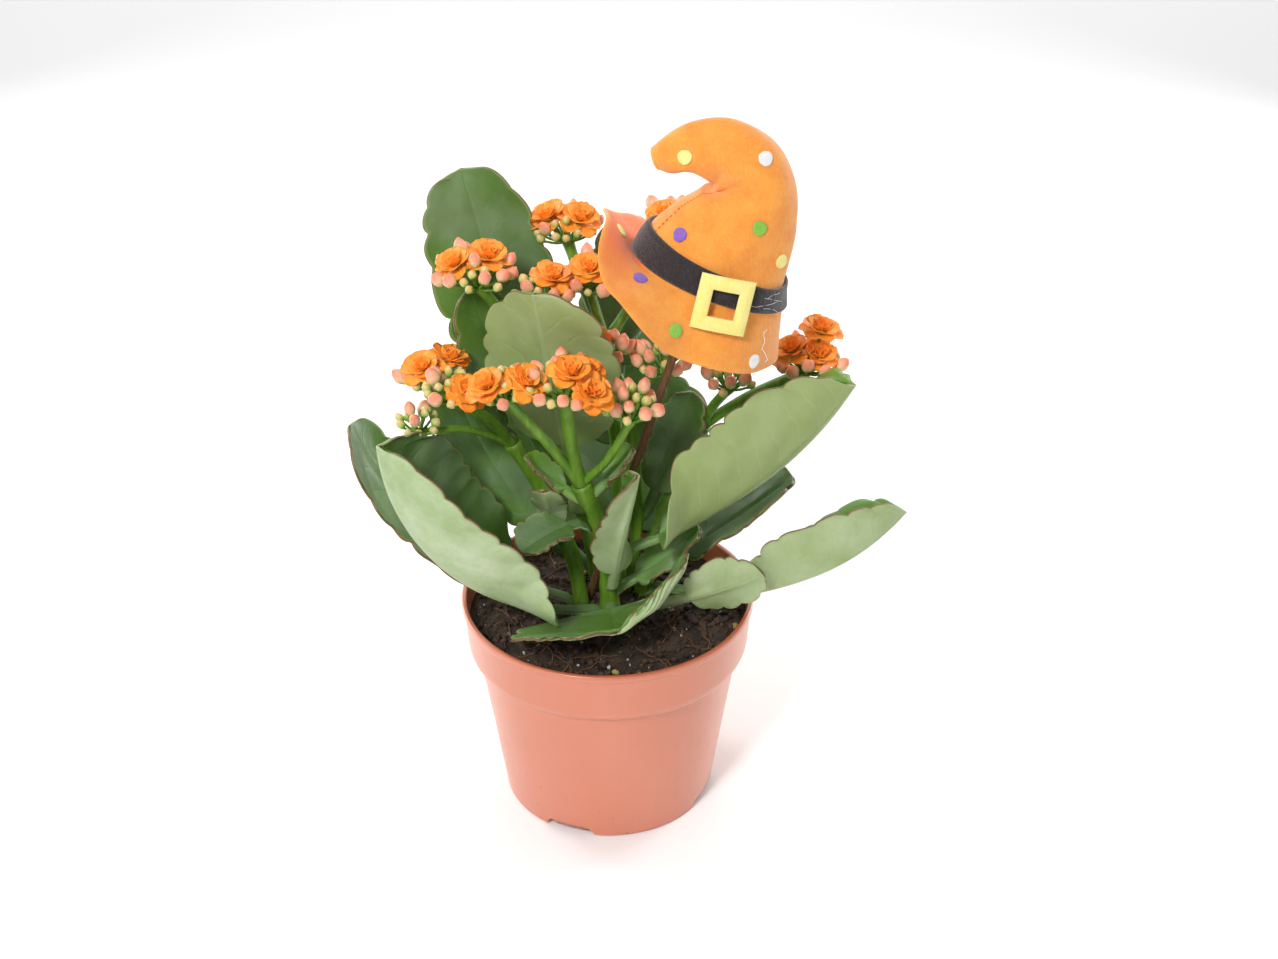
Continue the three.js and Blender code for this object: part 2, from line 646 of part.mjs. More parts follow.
// A point of the brim: share u of its width out from the crease, h off its upper face.
function brimPoint(angle, u, h) {
  const { side, tangent } = hatRing(0);
  const flare = rad(roundBrim(BRIM_FLARE, angle));
  const width = BRIM_WIDTH * roundBrim(BRIM_REACH, angle);
  const out = side.multiplyScalar(Math.cos(angle)).add(V(0, Math.sin(angle), 0));
  const along = out.clone().multiplyScalar(Math.sin(flare)).addScaledVector(tangent, -Math.cos(flare));
  const face = out.clone().multiplyScalar(Math.cos(flare)).addScaledVector(tangent, Math.sin(flare));
  const crease = hatPoint(0, angle, 0).addScaledVector(tangent, -GAP);
  return crease.addScaledVector(along, u * width).addScaledVector(face, h);
}

// The outward direction of the brim's upper face.
function brimNormal(angle, u) {
  const round = brimPoint(angle + 0.1, u, 0).sub(brimPoint(angle - 0.1, u, 0));
  const out = brimPoint(angle, u + 0.1, 0).sub(brimPoint(angle, u - 0.1, 0));
  return out.cross(round).normalize();
}

const hatBrim = () => ring(24, (j, angle) => brimPoint(angle, j === 0 || j === 3 ? 1 : 0.03, j < 2 ? 0 : -FELT));

// The band hugs the cone just above the crease; its foot and head follow the cone's slope.
function hatBand() {
  const perStep = BAND_HEIGHT / 10.5;
  return ring(24, (j, angle) => {
    const high = j === 1 || j === 2;
    return hatPoint(high ? 0.17 + perStep : 0.17, angle, j < 2 ? 2 * GAP + 0.8 * FELT : 2 * GAP);
  });
}

// The outward direction of the cone's surface.
function hatNormal(k, angle) {
  const round = hatPoint(k, angle + 0.05, 0).sub(hatPoint(k, angle - 0.05, 0));
  const up = hatPoint(k + 0.1, angle, 0).sub(hatPoint(Math.max(0, k - 0.1), angle, 0));
  return round.cross(up).normalize();
}

function buckle() {
  const outer = new THREE.BoxGeometry(BUCKLE_SIZE, BUCKLE_SIZE, FELT);
  const inner = new THREE.BoxGeometry(BUCKLE_WINDOW, BUCKLE_WINDOW, 4 * FELT);
  const angle = rad(-83);
  const facing = hatNormal(0.5, angle);
  const plate = solid(outer).subtract(solid(inner));
  const made = geometryOf(plate);
  made.rotateZ(rad(-HAT_TILT + 6));
  made.rotateX(Math.PI / 2 - Math.asin(facing.z));
  made.rotateZ(Math.atan2(facing.x, -facing.y));
  const at = hatPoint(0.35, angle, 2 * GAP + FELT + 2.6);
  return made.translate(at.x, at.y, at.z);
}

const DOTS_ON_CONE = {
  dot_yellow_tip: { k: 7.3, angle: -92, color: 0xf3e35a },
  dot_white_top: { k: 4.9, angle: -50, color: 0xf6f2ee },
  dot_green_middle: { k: 2.75, angle: -76, color: 0x8fce4a },
  dot_purple_middle: { k: 1.5, angle: -138, color: 0x8a5fc8 },
  dot_yellow_side: { k: 2.0, angle: -36, color: 0xf3e35a },
};
const DOTS_ON_BRIM = {
  dot_yellow_brim: { u: 0.5, angle: 176, lift: 1.2, color: 0xf3e35a },
  dot_purple_brim: { u: 0.3, angle: -138, lift: 1.6, color: 0x8a5fc8 },
  dot_green_brim: { u: 0.62, angle: -104, lift: 2.2, color: 0x8fce4a },
  dot_white_brim: { u: 0.78, angle: -47, lift: 1.2, color: 0xf6f2ee },
};
const DOT_THICKNESS = 0.7;
const dotProfile = [[0, 0], [DOT_RADIUS, 0], [DOT_RADIUS, DOT_THICKNESS], [0, DOT_THICKNESS]];
const dotDisc = () => geometryOf(solid(turned(dotProfile, 10)));

// ---- assembly ----
addMesh("pot", geometryOf(pot()), TERRACOTTA);
addMesh("soil", geometryOf(soilPlug()), SOIL);
addMesh("hat_cone", geometryOf(solid(hatCone())), FELT_ORANGE);
addMesh("hat_brim", hatBrim(), FELT_ORANGE);
addMesh("hat_band", hatBand(), FELT_BLACK);
addMesh("hat_buckle", buckle(), FELT_YELLOW);
addMesh("hat_stick", bar(stickLine(), STICK_RADIUS, 1, 8), WOOD);
for (const [name, dot] of Object.entries(DOTS_ON_CONE)) {
  const angle = rad(dot.angle);
  const at = hatPoint(dot.k, angle, 0).addScaledVector(hatNormal(dot.k, angle), 2 * GAP);
  addMesh(name, aim(dotDisc(), at, hatNormal(dot.k, angle)), paint(dot.color, 0.95));
}
for (const [name, dot] of Object.entries(DOTS_ON_BRIM)) {
  const angle = rad(dot.angle);
  const face = brimNormal(angle, dot.u);
  const at = brimPoint(angle, dot.u, 0).addScaledVector(face, dot.lift);
  addMesh(name, aim(dotDisc(), at, face), paint(dot.color, 0.95));
}
for (const [name, stem] of Object.entries(STEMS)) addMesh(name, geometryOf(stemSolid(stem)), STEM_GREEN);
for (const leaf of leaves) addMesh("leaf_" + leaf.name, leafGeometry(leaf), LEAF_GREEN);
for (const [name, head] of Object.entries(HEADS)) addMesh(name, geometryOf(headSolid(head)), PETAL_ORANGE);

export default root;
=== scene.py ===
# A flowering kalanchoe in a plastic nursery pot, with a felt witch's hat on a wooden stick.
# Lengths in the tables and formulas are millimetres; meshes are written in metres.
import math
import random

import bpy
import numpy as np
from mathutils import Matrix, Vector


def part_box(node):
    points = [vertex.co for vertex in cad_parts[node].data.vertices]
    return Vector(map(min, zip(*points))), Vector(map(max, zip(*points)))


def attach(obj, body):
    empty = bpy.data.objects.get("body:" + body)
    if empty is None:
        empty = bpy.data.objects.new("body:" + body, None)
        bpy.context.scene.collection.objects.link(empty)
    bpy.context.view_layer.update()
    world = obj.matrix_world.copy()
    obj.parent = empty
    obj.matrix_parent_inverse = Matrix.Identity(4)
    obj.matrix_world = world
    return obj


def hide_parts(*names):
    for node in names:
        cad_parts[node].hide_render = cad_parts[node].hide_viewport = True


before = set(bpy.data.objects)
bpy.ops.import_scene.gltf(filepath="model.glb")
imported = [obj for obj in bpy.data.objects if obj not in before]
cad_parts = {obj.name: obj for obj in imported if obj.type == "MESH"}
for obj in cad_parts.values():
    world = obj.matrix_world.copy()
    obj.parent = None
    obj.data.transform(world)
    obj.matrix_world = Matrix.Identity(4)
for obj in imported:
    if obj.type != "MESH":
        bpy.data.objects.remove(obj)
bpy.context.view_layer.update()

# ---- sizes, as the CAD frame has them ----
GAP = 0.3
POT_RADIUS = 60
POT_HEIGHT = 93
POT_WALL = 1.3
COLLAR_HEIGHT = 22
COLLAR_TAPER = 2.6
COLLAR_STEP = 3.4
FOOT_RADIUS = 44
FOOT_RISE = 4
FOOT_NOTCHES = 4
NOTCH_TURN = 23
NOTCH_WIDTH = 20
NOTCH_DEPTH = 3.2
PAD_RADIUS = 9
DRAIN_HOLES = 6
DRAIN_RADIUS = 4
SOIL_TOP = 85
SOIL_MOUND = 2
STEM_DEPTH = 14
LEAF_THICKNESS = 2.4
LEAF_EDGE = 1.3
PETIOLE_WIDTH = 5
STICK_RADIUS = 1.7
STICK_DEPTH = 40
FELT = 1.4
HAT_RADIUS = 30
HAT_FLATNESS = 0.72
BRIM_WIDTH = 23
BAND_HEIGHT = 10
BUCKLE_SIZE = 20.5
BUCKLE_WINDOW = 10
DOT_RADIUS = 2.7

BODY_TOP_Z = POT_HEIGHT - COLLAR_HEIGHT
COLLAR_FOOT = POT_RADIUS - COLLAR_TAPER
BODY_TOP = COLLAR_FOOT - COLLAR_STEP


def inside_radius(z):
    """Inside radius of the pot at a height."""
    if z < BODY_TOP_Z:
        return FOOT_RADIUS + (BODY_TOP - FOOT_RADIUS) * z / BODY_TOP_Z - POT_WALL
    return COLLAR_FOOT + COLLAR_TAPER * (z - BODY_TOP_Z) / COLLAR_HEIGHT - POT_WALL


# ---- small maths ----
def vec(*xyz):
    return np.array(xyz, float)


def unit(a):
    a = np.asarray(a, float)
    return a / np.maximum(np.linalg.norm(a, axis=-1, keepdims=True), 1e-9)


def smooth(a, b, x):
    t = np.clip((np.asarray(x, float) - a) / (b - a), 0, 1)
    return t * t * (3 - 2 * t)


def heading(azimuth, pitch):
    a, p = np.radians(azimuth), np.radians(pitch)
    return np.stack([np.cos(p) * np.cos(a), np.cos(p) * np.sin(a), np.sin(p) + 0 * a], -1)


class Curve:
    """A centripetal Catmull-Rom curve through points."""

    def __init__(self, points):
        self.p = [np.asarray(p, float) for p in points]

    def at(self, t):
        p, last = self.p, len(self.p) - 1
        i = min(int(last * t), last - 1)
        w = last * t - i
        before = p[i - 1] if i > 0 else 2 * p[0] - p[1]
        after = p[i + 2] if i + 2 <= last else 2 * p[last] - p[last - 1]
        d0, d1, d2 = (
            np.linalg.norm(b - a) ** 0.5
            for a, b in ((before, p[i]), (p[i], p[i + 1]), (p[i + 1], after))
        )
        d0, d2 = d0 or d1, d2 or d1
        x0, x1, x2, x3 = before, p[i], p[i + 1], after
        t1 = ((x1 - x0) / d0 - (x2 - x0) / (d0 + d1) + (x2 - x1) / d1) * d1
        t2 = ((x2 - x1) / d1 - (x3 - x1) / (d1 + d2) + (x3 - x2) / d2) * d1
        return x1 + t1 * w + (-3 * x1 + 3 * x2 - 2 * t1 - t2) * w**2 + (2 * x1 - 2 * x2 + t1 + t2) * w**3

    def many(self, n):
        return np.array([self.at(i / (n - 1)) for i in range(n)])

    def end(self):
        return self.at(1), unit(self.at(1) - self.at(0.9999))


# ---- meshes ----
class Mesh:
    """Vertices, faces and per-vertex values gathered from closed shells."""

    def __init__(self):
        self.verts, self.faces, self.values, self.count = [], [], {}, 0

    def add(self, verts, faces, **values):
        self.verts.append(verts)
        self.faces += [[i + self.count for i in f] for f in faces]
        for key, value in values.items():
            self.values.setdefault(key, []).append(np.broadcast_to(value, len(verts)))
        self.count += len(verts)

    def loops(self, rings, **values):
        """A closed tube: rings is (rows, points round, 3); values broadcast over (rows, points round)."""
        rows, n = rings.shape[:2]
        faces = []
        for r in range(rows - 1):
            a, b = r * n, (r + 1) * n
            faces += [[a + i, a + (i + 1) % n, b + (i + 1) % n, b + i] for i in range(n)]
        first, last, top = rows * n, rows * n + 1, (rows - 1) * n
        faces += [[first, (i + 1) % n, i] for i in range(n)]
        faces += [[last, top + i, top + (i + 1) % n] for i in range(n)]
        verts = np.vstack([rings.reshape(-1, 3), rings[0].mean(0), rings[-1].mean(0)])
        spread = {}
        for key, value in values.items():
            v = np.broadcast_to(value, (rows, n)).reshape(-1)
            spread[key] = np.append(v, [v[:n].mean(), v[-n:].mean()])
        self.add(verts, faces, **spread)


def piece(name, mesh, material, nodes):
    """Puts a gathered mesh in the scene as one piece on the frame."""
    data = bpy.data.meshes.new(name)
    verts = np.vstack(mesh.verts) * 0.001
    data.from_pydata(verts.tolist(), [], mesh.faces)
    for key, value in mesh.values.items():
        data.attributes.new(key, "FLOAT", "POINT").data.foreach_set("value", np.concatenate(value))
    data.validate()
    data.polygons.foreach_set("use_smooth", [True] * len(data.polygons))
    data.update()
    obj = bpy.data.objects.new(name, data)
    bpy.context.scene.collection.objects.link(obj)
    data.materials.append(material)
    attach(obj, "root")
    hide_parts(*nodes)
    return obj


def settle(mesh, node, reach=2.0):
    """Moves a gathered mesh so that its box is centred on its CAD node's, if that is a small move."""
    low, high = (np.array(c) * 1000 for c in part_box(node))
    verts = np.vstack(mesh.verts)
    move = (low + high) / 2 - (verts.min(0) + verts.max(0)) / 2
    if np.linalg.norm(move) < reach:
        mesh.verts = [v + move for v in mesh.verts]


def tube(points, radii, sides=8, squash=1.0):
    """Rings of a round bar along points."""
    points = np.asarray(points, float)
    radii = np.broadcast_to(radii, len(points))
    along = unit(np.gradient(points, axis=0))
    side = np.cross(along[0], vec(0, 0, 1) if abs(along[0][2]) < 0.9 else vec(1, 0, 0))
    rings = []
    angles = np.linspace(0, 2 * np.pi, sides, endpoint=False)
    for p, t, r in zip(points, along, radii):
        side = unit(side - t * np.dot(side, t))
        up = np.cross(t, side)
        rings.append(p + r * (np.outer(np.cos(angles), side) + squash * np.outer(np.sin(angles), up)))
    return np.array(rings)


def baked(obj):
    """Applies an object's modifiers to its mesh."""
    graph = bpy.context.evaluated_depsgraph_get()
    data = bpy.data.meshes.new_from_object(obj.evaluated_get(graph))
    materials = list(obj.data.materials)
    obj.modifiers.clear()
    obj.data = data
    data.materials.clear()
    for m in materials:
        data.materials.append(m)
    data.polygons.foreach_set("use_smooth", [True] * len(data.polygons))
    return obj


# ---- materials ----
class Nodes:
    """A short way to write a material's nodes."""

    def __init__(self, name):
        self.material = bpy.data.materials.new(name)
        self.material.use_nodes = True
        self.tree = self.material.node_tree
        self.shader = self.tree.nodes["Principled BSDF"]
        self.place = self.tree.nodes.new("ShaderNodeTexCoord").outputs["Object"]

    def put(self, socket, value):
        if hasattr(value, "links"):
            self.tree.links.new(value, socket)
        elif isinstance(value, tuple) and len(value) == 3 and len(socket.default_value) == 4:
            socket.default_value = (*value, 1)
        else:
            socket.default_value = value

    def node(self, kind, out=0, inputs=None, **settings):
        made = self.tree.nodes.new("ShaderNode" + kind)
        for key, value in settings.items():
            setattr(made, key, value)
        for key, value in (inputs or {}).items():
            self.put(made.inputs[key], value)
        return made.outputs[out]

    def attr(self, name):
        return self.node("Attribute", 2, attribute_name=name)

    def maths(self, op, a, b=0.0, c=0.0):
        return self.node("Math", 0, {0: a, 1: b, 2: c}, operation=op)

    def noise(self, scale, detail=3.0, rough=0.55, place=None, distortion=0.0):
        inputs = {"Vector": place or self.place, "Scale": scale, "Detail": detail, "Roughness": rough}
        return self.node("TexNoise", 0, {**inputs, "Distortion": distortion})

    def stretched(self, scale, turn=(0, 0, 0)):
        return self.node("Mapping", 0, {"Vector": self.place, "Scale": scale, "Rotation": turn})

    def ramp(self, fac, *stops):
        made = self.tree.nodes.new("ShaderNodeValToRGB")
        self.put(made.inputs[0], fac)
        band = made.color_ramp
        while len(band.elements) < len(stops):
            band.elements.new(0.5)
        for element, (at, colour) in zip(band.elements, stops):
            element.position = at
            element.color = (*colour, 1) if isinstance(colour, tuple) else (colour, colour, colour, 1)
        return made.outputs[0]

    def span(self, value, low, high, to_low=0.0, to_high=1.0):
        inputs = {0: value, 1: low, 2: high, 3: to_low, 4: to_high}
        return self.node("MapRange", 0, inputs, interpolation_type="SMOOTHSTEP")

    def mix(self, fac, a, b):
        made = self.tree.nodes.new("ShaderNodeMix")
        made.data_type = "RGBA"
        self.put(made.inputs[0], fac)
        self.put(made.inputs[6], a)
        self.put(made.inputs[7], b)
        return made.outputs[2]

    def bump(self, height, strength, distance, under=None):
        inputs = {"Height": height, "Strength": strength, "Distance": distance * 0.001}
        if under is not None:
            inputs["Normal"] = under
        return self.node("Bump", 0, inputs)

    def finish(self, colour, roughness, normal=None, **constants):
        self.put(self.shader.inputs["Base Color"], colour)
        self.put(self.shader.inputs["Roughness"], roughness)
        if normal is not None:
            self.put(self.shader.inputs["Normal"], normal)
        for key, value in constants.items():
            self.shader.inputs[key.replace("_", " ")].default_value = value
        return self.material


def leaf_material():
    m = Nodes("leaf")
    top, across, run, edge, tone = (m.attr(k) for k in ("top", "across", "run", "edge", "tone"))
    blotch = m.noise(55, 4, 0.6)
    fine = m.noise(600, 3, 0.6)
    upper = m.ramp(
        blotch,
        (0.3, (0.045, 0.110, 0.010)),
        (0.55, (0.070, 0.155, 0.020)),
        (0.75, (0.110, 0.200, 0.040)),
    )
    fresh = m.ramp(blotch, (0.3, (0.100, 0.270, 0.008)), (0.7, (0.165, 0.370, 0.022)))
    upper = m.mix(tone, upper, fresh)
    wax = m.maths("MULTIPLY", m.span(m.noise(24, 3, 0.6), 0.38, 0.70), 0.42)
    upper = m.mix(wax, upper, (0.26, 0.33, 0.24))
    upper = m.mix(m.maths("MULTIPLY", m.span(fine, 0.55, 0.75), 0.22), upper, (0.16, 0.24, 0.07))
    lower = m.ramp(
        blotch,
        (0.3, (0.300, 0.410, 0.180)),
        (0.6, (0.450, 0.555, 0.330)),
        (0.8, (0.580, 0.660, 0.480)),
    )
    lower = m.mix(m.maths("MULTIPLY", m.span(fine, 0.5, 0.8), 0.25), lower, (0.20, 0.30, 0.10))
    lower = m.mix(m.maths("MULTIPLY", tone, 0.95), lower, (0.25, 0.32, 0.085))
    spread = m.maths("ABSOLUTE", across)
    vein = m.maths("SINE", m.maths("MULTIPLY_ADD", run, 62.0, m.maths("MULTIPLY", blotch, 6.0)))
    vein = m.maths("MULTIPLY", m.span(vein, 0.86, 1.0), m.span(spread, 1.0, 0.35))
    midrib = m.span(spread, 0.05, 0.012)
    ribs = m.maths("MAXIMUM", m.maths("MULTIPLY", vein, 0.35), midrib)
    upper = m.mix(m.maths("MULTIPLY", ribs, 0.25), upper, (0.13, 0.25, 0.05))
    lower = m.mix(m.maths("MULTIPLY", ribs, 0.30), lower, (0.42, 0.52, 0.25))
    colour = m.mix(m.span(top, -0.2, 0.2), lower, upper)
    ragged = m.maths("MULTIPLY", m.noise(160, 4, 0.7), 0.9)
    rim = m.span(m.maths("SUBTRACT", edge, ragged), 0.12, -0.30)
    pale_rim = m.span(m.maths("SUBTRACT", edge, ragged), 1.5, 0.1)
    colour = m.mix(m.maths("MULTIPLY", pale_rim, 0.4), colour, (0.30, 0.36, 0.12))
    rim_colour = m.ramp(
        m.noise(90, 2, 0.5),
        (0.35, (0.100, 0.028, 0.014)),
        (0.6, (0.200, 0.080, 0.045)),
        (0.8, (0.13, 0.15, 0.03)),
    )
    colour = m.mix(m.maths("MULTIPLY", rim, 0.85), colour, rim_colour)
    scar = m.maths("MULTIPLY", m.span(m.noise(40, 5, 0.7), 0.70, 0.74), m.span(edge, 5.0, 2.0))
    colour = m.mix(scar, colour, (0.22, 0.10, 0.05))
    rough = m.span(m.noise(90, 4, 0.6), 0.3, 0.7, 0.30, 0.46)
    rough = m.maths("ADD", rough, m.span(top, 0.2, -0.2, 0.0, 0.14))
    normal = m.bump(fine, 0.22, 0.25)
    normal = m.bump(ribs, 0.35, 0.5, normal)
    normal = m.bump(m.noise(130, 2, 0.5), 0.30, 0.7, normal)
    return m.finish(colour, rough, normal, Subsurface_Weight=0.04, Subsurface_Scale=0.002)


def stem_material():
    m = Nodes("stem")
    streaks = m.noise(1, 4, 0.6, m.stretched((500, 500, 45)))
    patch = m.noise(40, 3, 0.5)
    colour = m.ramp(
        streaks,
        (0.3, (0.085, 0.205, 0.010)),
        (0.55, (0.140, 0.285, 0.018)),
        (0.8, (0.240, 0.380, 0.050)),
    )
    colour = m.mix(m.maths("MULTIPLY", m.span(patch, 0.5, 0.75), 0.4), colour, (0.080, 0.150, 0.015))
    spots = m.span(m.noise(420, 3, 0.7), 0.66, 0.74)
    colour = m.mix(m.maths("MULTIPLY", spots, 0.35), colour, (0.14, 0.10, 0.03))
    normal = m.bump(streaks, 0.35, 0.4)
    normal = m.bump(m.noise(900, 2, 0.6), 0.15, 0.2, normal)
    rough = m.span(patch, 0.3, 0.7, 0.38, 0.55)
    return m.finish(colour, rough, normal, Subsurface_Weight=0.05, Subsurface_Scale=0.002)


def petal_material():
    m = Nodes("petal")
    along, tone = m.attr("along"), m.attr("tone")
    streaks = m.noise(900, 3, 0.6)
    shade = m.maths("MULTIPLY_ADD", m.maths("SUBTRACT", streaks, 0.5), 0.5, along)
    warm = m.ramp(shade, (0.05, (1.0, 0.74, 0.22)), (0.40, (1.0, 0.50, 0.075)), (0.95, (1.0, 0.36, 0.030)))
    deep = m.ramp(shade, (0.05, (1.0, 0.55, 0.09)), (0.45, (1.0, 0.31, 0.026)), (0.95, (0.98, 0.19, 0.012)))
    colour = m.mix(tone, warm, deep)
    flecks = m.maths("MULTIPLY", m.span(m.noise(260, 3, 0.6), 0.5, 0.8), 0.35)
    colour = m.mix(flecks, colour, (0.98, 0.46, 0.09))
    normal = m.bump(streaks, 0.25, 0.2)
    rough = m.span(streaks, 0.2, 0.8, 0.45, 0.62)
    return m.finish(colour, rough, normal, Subsurface_Weight=0.12, Subsurface_Scale=0.0015)


def bud_material():
    m = Nodes("bud")
    along, tone = m.attr("along"), m.attr("tone")
    grain = m.noise(700, 3, 0.6)
    height = m.maths("ADD", along, m.maths("MULTIPLY", m.maths("SUBTRACT", grain, 0.5), 0.35))
    ripe = m.ramp(
        height,
        (0.10, (0.46, 0.56, 0.16)),
        (0.34, (0.84, 0.58, 0.34)),
        (0.70, (0.87, 0.39, 0.25)),
        (0.97, (0.82, 0.25, 0.13)),
    )
    young = m.ramp(height, (0.1, (0.26, 0.42, 0.06)), (0.6, (0.52, 0.58, 0.17)), (0.95, (0.78, 0.50, 0.24)))
    colour = m.mix(m.span(tone, 0.55, 0.85), ripe, young)
    normal = m.bump(grain, 0.2, 0.2)
    rough = m.span(grain, 0.2, 0.8, 0.36, 0.5)
    return m.finish(colour, rough, normal, Subsurface_Weight=0.1, Subsurface_Scale=0.0015)


def sepal_material():
    m = Nodes("sepal")
    along = m.attr("along")
    grain = m.noise(500, 3, 0.6)
    colour = m.ramp(
        m.maths("MULTIPLY_ADD", grain, 0.5, along),
        (0.2, (0.10, 0.24, 0.012)),
        (0.7, (0.19, 0.36, 0.03)),
        (1.2, (0.34, 0.46, 0.08)),
    )
    rough = m.span(grain, 0.2, 0.8, 0.4, 0.55)
    normal = m.bump(grain, 0.3, 0.2)
    return m.finish(colour, rough, normal, Subsurface_Weight=0.05, Subsurface_Scale=0.0015)


def pot_material():
    m = Nodes("pot_plastic")
    rim = m.attr("rim")
    cloud = m.noise(14, 4, 0.55)
    flow = m.noise(1, 4, 0.6, m.stretched((60, 60, 9)))
    colour = m.ramp(cloud, (0.3, (0.620, 0.195, 0.108)), (0.7, (0.670, 0.216, 0.124)))
    colour = m.mix(m.maths("MULTIPLY", m.span(flow, 0.5, 0.8), 0.2), colour, (0.70, 0.26, 0.17))
    # painted shade: the lip's top and inner edge, marked by `rim`, darken to a thin shade line
    colour = m.mix(m.maths("MULTIPLY", rim, 0.85), colour, (0.42, 0.085, 0.030))
    height = m.node("SeparateXYZ", 2, {0: m.place})
    dusty = m.span(height, 0.055, 0.0)
    specks = m.span(m.noise(520, 2, 0.5), 0.735, 0.76)
    colour = m.mix(m.maths("MULTIPLY", specks, dusty), colour, (0.10, 0.05, 0.03))
    smear = m.maths("MULTIPLY", m.span(m.noise(35, 5, 0.7), 0.55, 0.8), m.span(height, 0.03, 0.0))
    colour = m.mix(m.maths("MULTIPLY", smear, 0.25), colour, (0.35, 0.17, 0.10))
    scuffs = m.noise(1, 5, 0.7, m.stretched((900, 900, 120), (0.3, 0.2, 0)))
    rough = m.span(scuffs, 0.3, 0.75, 0.30, 0.44)
    normal = m.bump(m.noise(1400, 2, 0.5), 0.10, 0.06)
    normal = m.bump(flow, 0.12, 0.3, normal)
    inside = dict(Subsurface_Weight=0.05, Subsurface_Scale=0.004)
    return m.finish(colour, rough, normal, **inside, Coat_Weight=0.6, Coat_Roughness=0.34)


def soil_material(name, dark, light):
    m = Nodes(name)
    grain = m.noise(900, 5, 0.7)
    patch = m.noise(130, 4, 0.65)
    colour = m.mix(m.span(patch, 0.35, 0.7), dark, light)
    glints = m.maths("MULTIPLY", m.span(grain, 0.5, 0.75), 0.5)
    colour = m.mix(glints, colour, tuple(2.1 * c for c in light))
    normal = m.bump(grain, 0.8, 0.5)
    return m.finish(colour, m.span(patch, 0.3, 0.7, 0.7, 0.95), normal)


def felt_material(name, base, light, dark, shade=None):
    """Pressed felt; `shade` is a colour of painted shade, laid on the places that the attribute `deep` marks."""
    m = Nodes(name)
    turns = ((0, 0, 0.4), (0.9, 0.3, 1.5), (0.4, 1.1, 2.6), (1.4, 0.5, 0.9))
    strands = None
    for turn in turns:
        lines = m.noise(1, 3, 0.6, m.stretched((2600, 2600, 260), turn), 0.6)
        lines = m.span(lines, 0.56, 0.70)
        strands = lines if strands is None else m.maths("MAXIMUM", strands, lines)
    cloud = m.noise(120, 5, 0.65)
    colour = m.mix(m.span(cloud, 0.3, 0.7), dark, base)
    colour = m.mix(m.maths("MULTIPLY", strands, 0.45), colour, light)
    # painted shade: the places that `deep` marks darken to the `shade` colour
    if shade:
        colour = m.mix(m.attr("deep"), colour, shade)
    normal = m.bump(strands, 0.5, 0.22)
    normal = m.bump(cloud, 0.6, 0.6, normal)
    rough = m.span(cloud, 0.3, 0.7, 0.85, 1.0)
    return m.finish(colour, rough, normal, Sheen_Weight=0.35, Sheen_Roughness=0.5)


def wood_material():
    m = Nodes("stick_wood")
    grain = m.noise(1, 5, 0.65, m.stretched((1800, 1800, 90), (0.13, -0.28, 0)))
    colour = m.ramp(
        grain,
        (0.3, (0.070, 0.028, 0.008)),
        (0.55, (0.150, 0.068, 0.022)),
        (0.8, (0.260, 0.135, 0.050)),
    )
    return m.finish(colour, m.span(grain, 0.3, 0.7, 0.6, 0.85), m.bump(grain, 0.5, 0.3))


def thread_material(name, colour, rough):
    m = Nodes(name)
    grain = m.noise(1500, 3, 0.6)
    shade = m.mix(m.span(grain, 0.3, 0.7), tuple(0.75 * c for c in colour), colour)
    return m.finish(shade, m.span(grain, 0.3, 0.7, rough - 0.1, rough + 0.1), m.bump(grain, 0.3, 0.1))


def floor_material():
    m = Nodes("floor")
    cloud = m.noise(3, 2, 0.5)
    return m.finish(m.mix(cloud, (0.90, 0.90, 0.90), (0.92, 0.92, 0.92)), 0.9)


# ---- the plant's layout, as the CAD frame has it; heights are above the soil ----
STEMS = {
    "front_stem": (3.3, [(1, -4), (0, -5, 22), (-4, -8, 48), (-10, -10, 66)], [
        (2.5, [(-13, -16, 86), (-15, -26, 112)]),
        (2.1, [(-22, -17, 88), (-36, -24, 110)]),
        (1.7, [(0, -15, 79), (9, -19, 98)])]),
    "left_stem": (3, [(-11, 2), (-15, 8, 22), (-28, 13, 52), (-38, 12, 72)], [
        (2.3, [(-50, 9, 86), (-66, 5, 101)]),
        (1.9, [(-46, 0, 90), (-58, -12, 104)]),
        (1.5, [(-56, 2, 84), (-71, -7, 88)])]),
    "back_left_stem": (3, [(-4, 17), (-10, 24, 30), (-22, 24, 80), (-30, 19, 108)], [
        (2.2, [(-38, 17, 124), (-48, 15, 139)]),
        (2.2, [(-28, 14, 122), (-24, 10, 134)])]),
    "back_stem": (3, [(4, 24), (5, 32, 40), (2, 34, 80), (0, 34, 106)], [
        (2.2, [(-8, 40, 124), (-15, 47, 143)]),
        (2.2, [(13, 44, 124), (26, 50, 143)]),
        (2, [(-3, 26, 120), (-6, 18, 136)])]),
    "right_stem": (3.1, [(14, 10), (21, 22, 24), (31, 33, 52), (39, 34, 68)], [
        (2, [(43, 28, 80), (48, 19, 92)]),
        (2.2, [(58, 33, 82), (78, 23, 98)])]),
    "middle_stem": (2.4, [(9, 15), (12, 20, 30), (10, 22, 66), (9, 22, 84)], [
        (1.7, [(6, 17, 97), (1, 13, 108)]),
        (1.7, [(14, 19, 94), (21, 14, 102)])]),
}
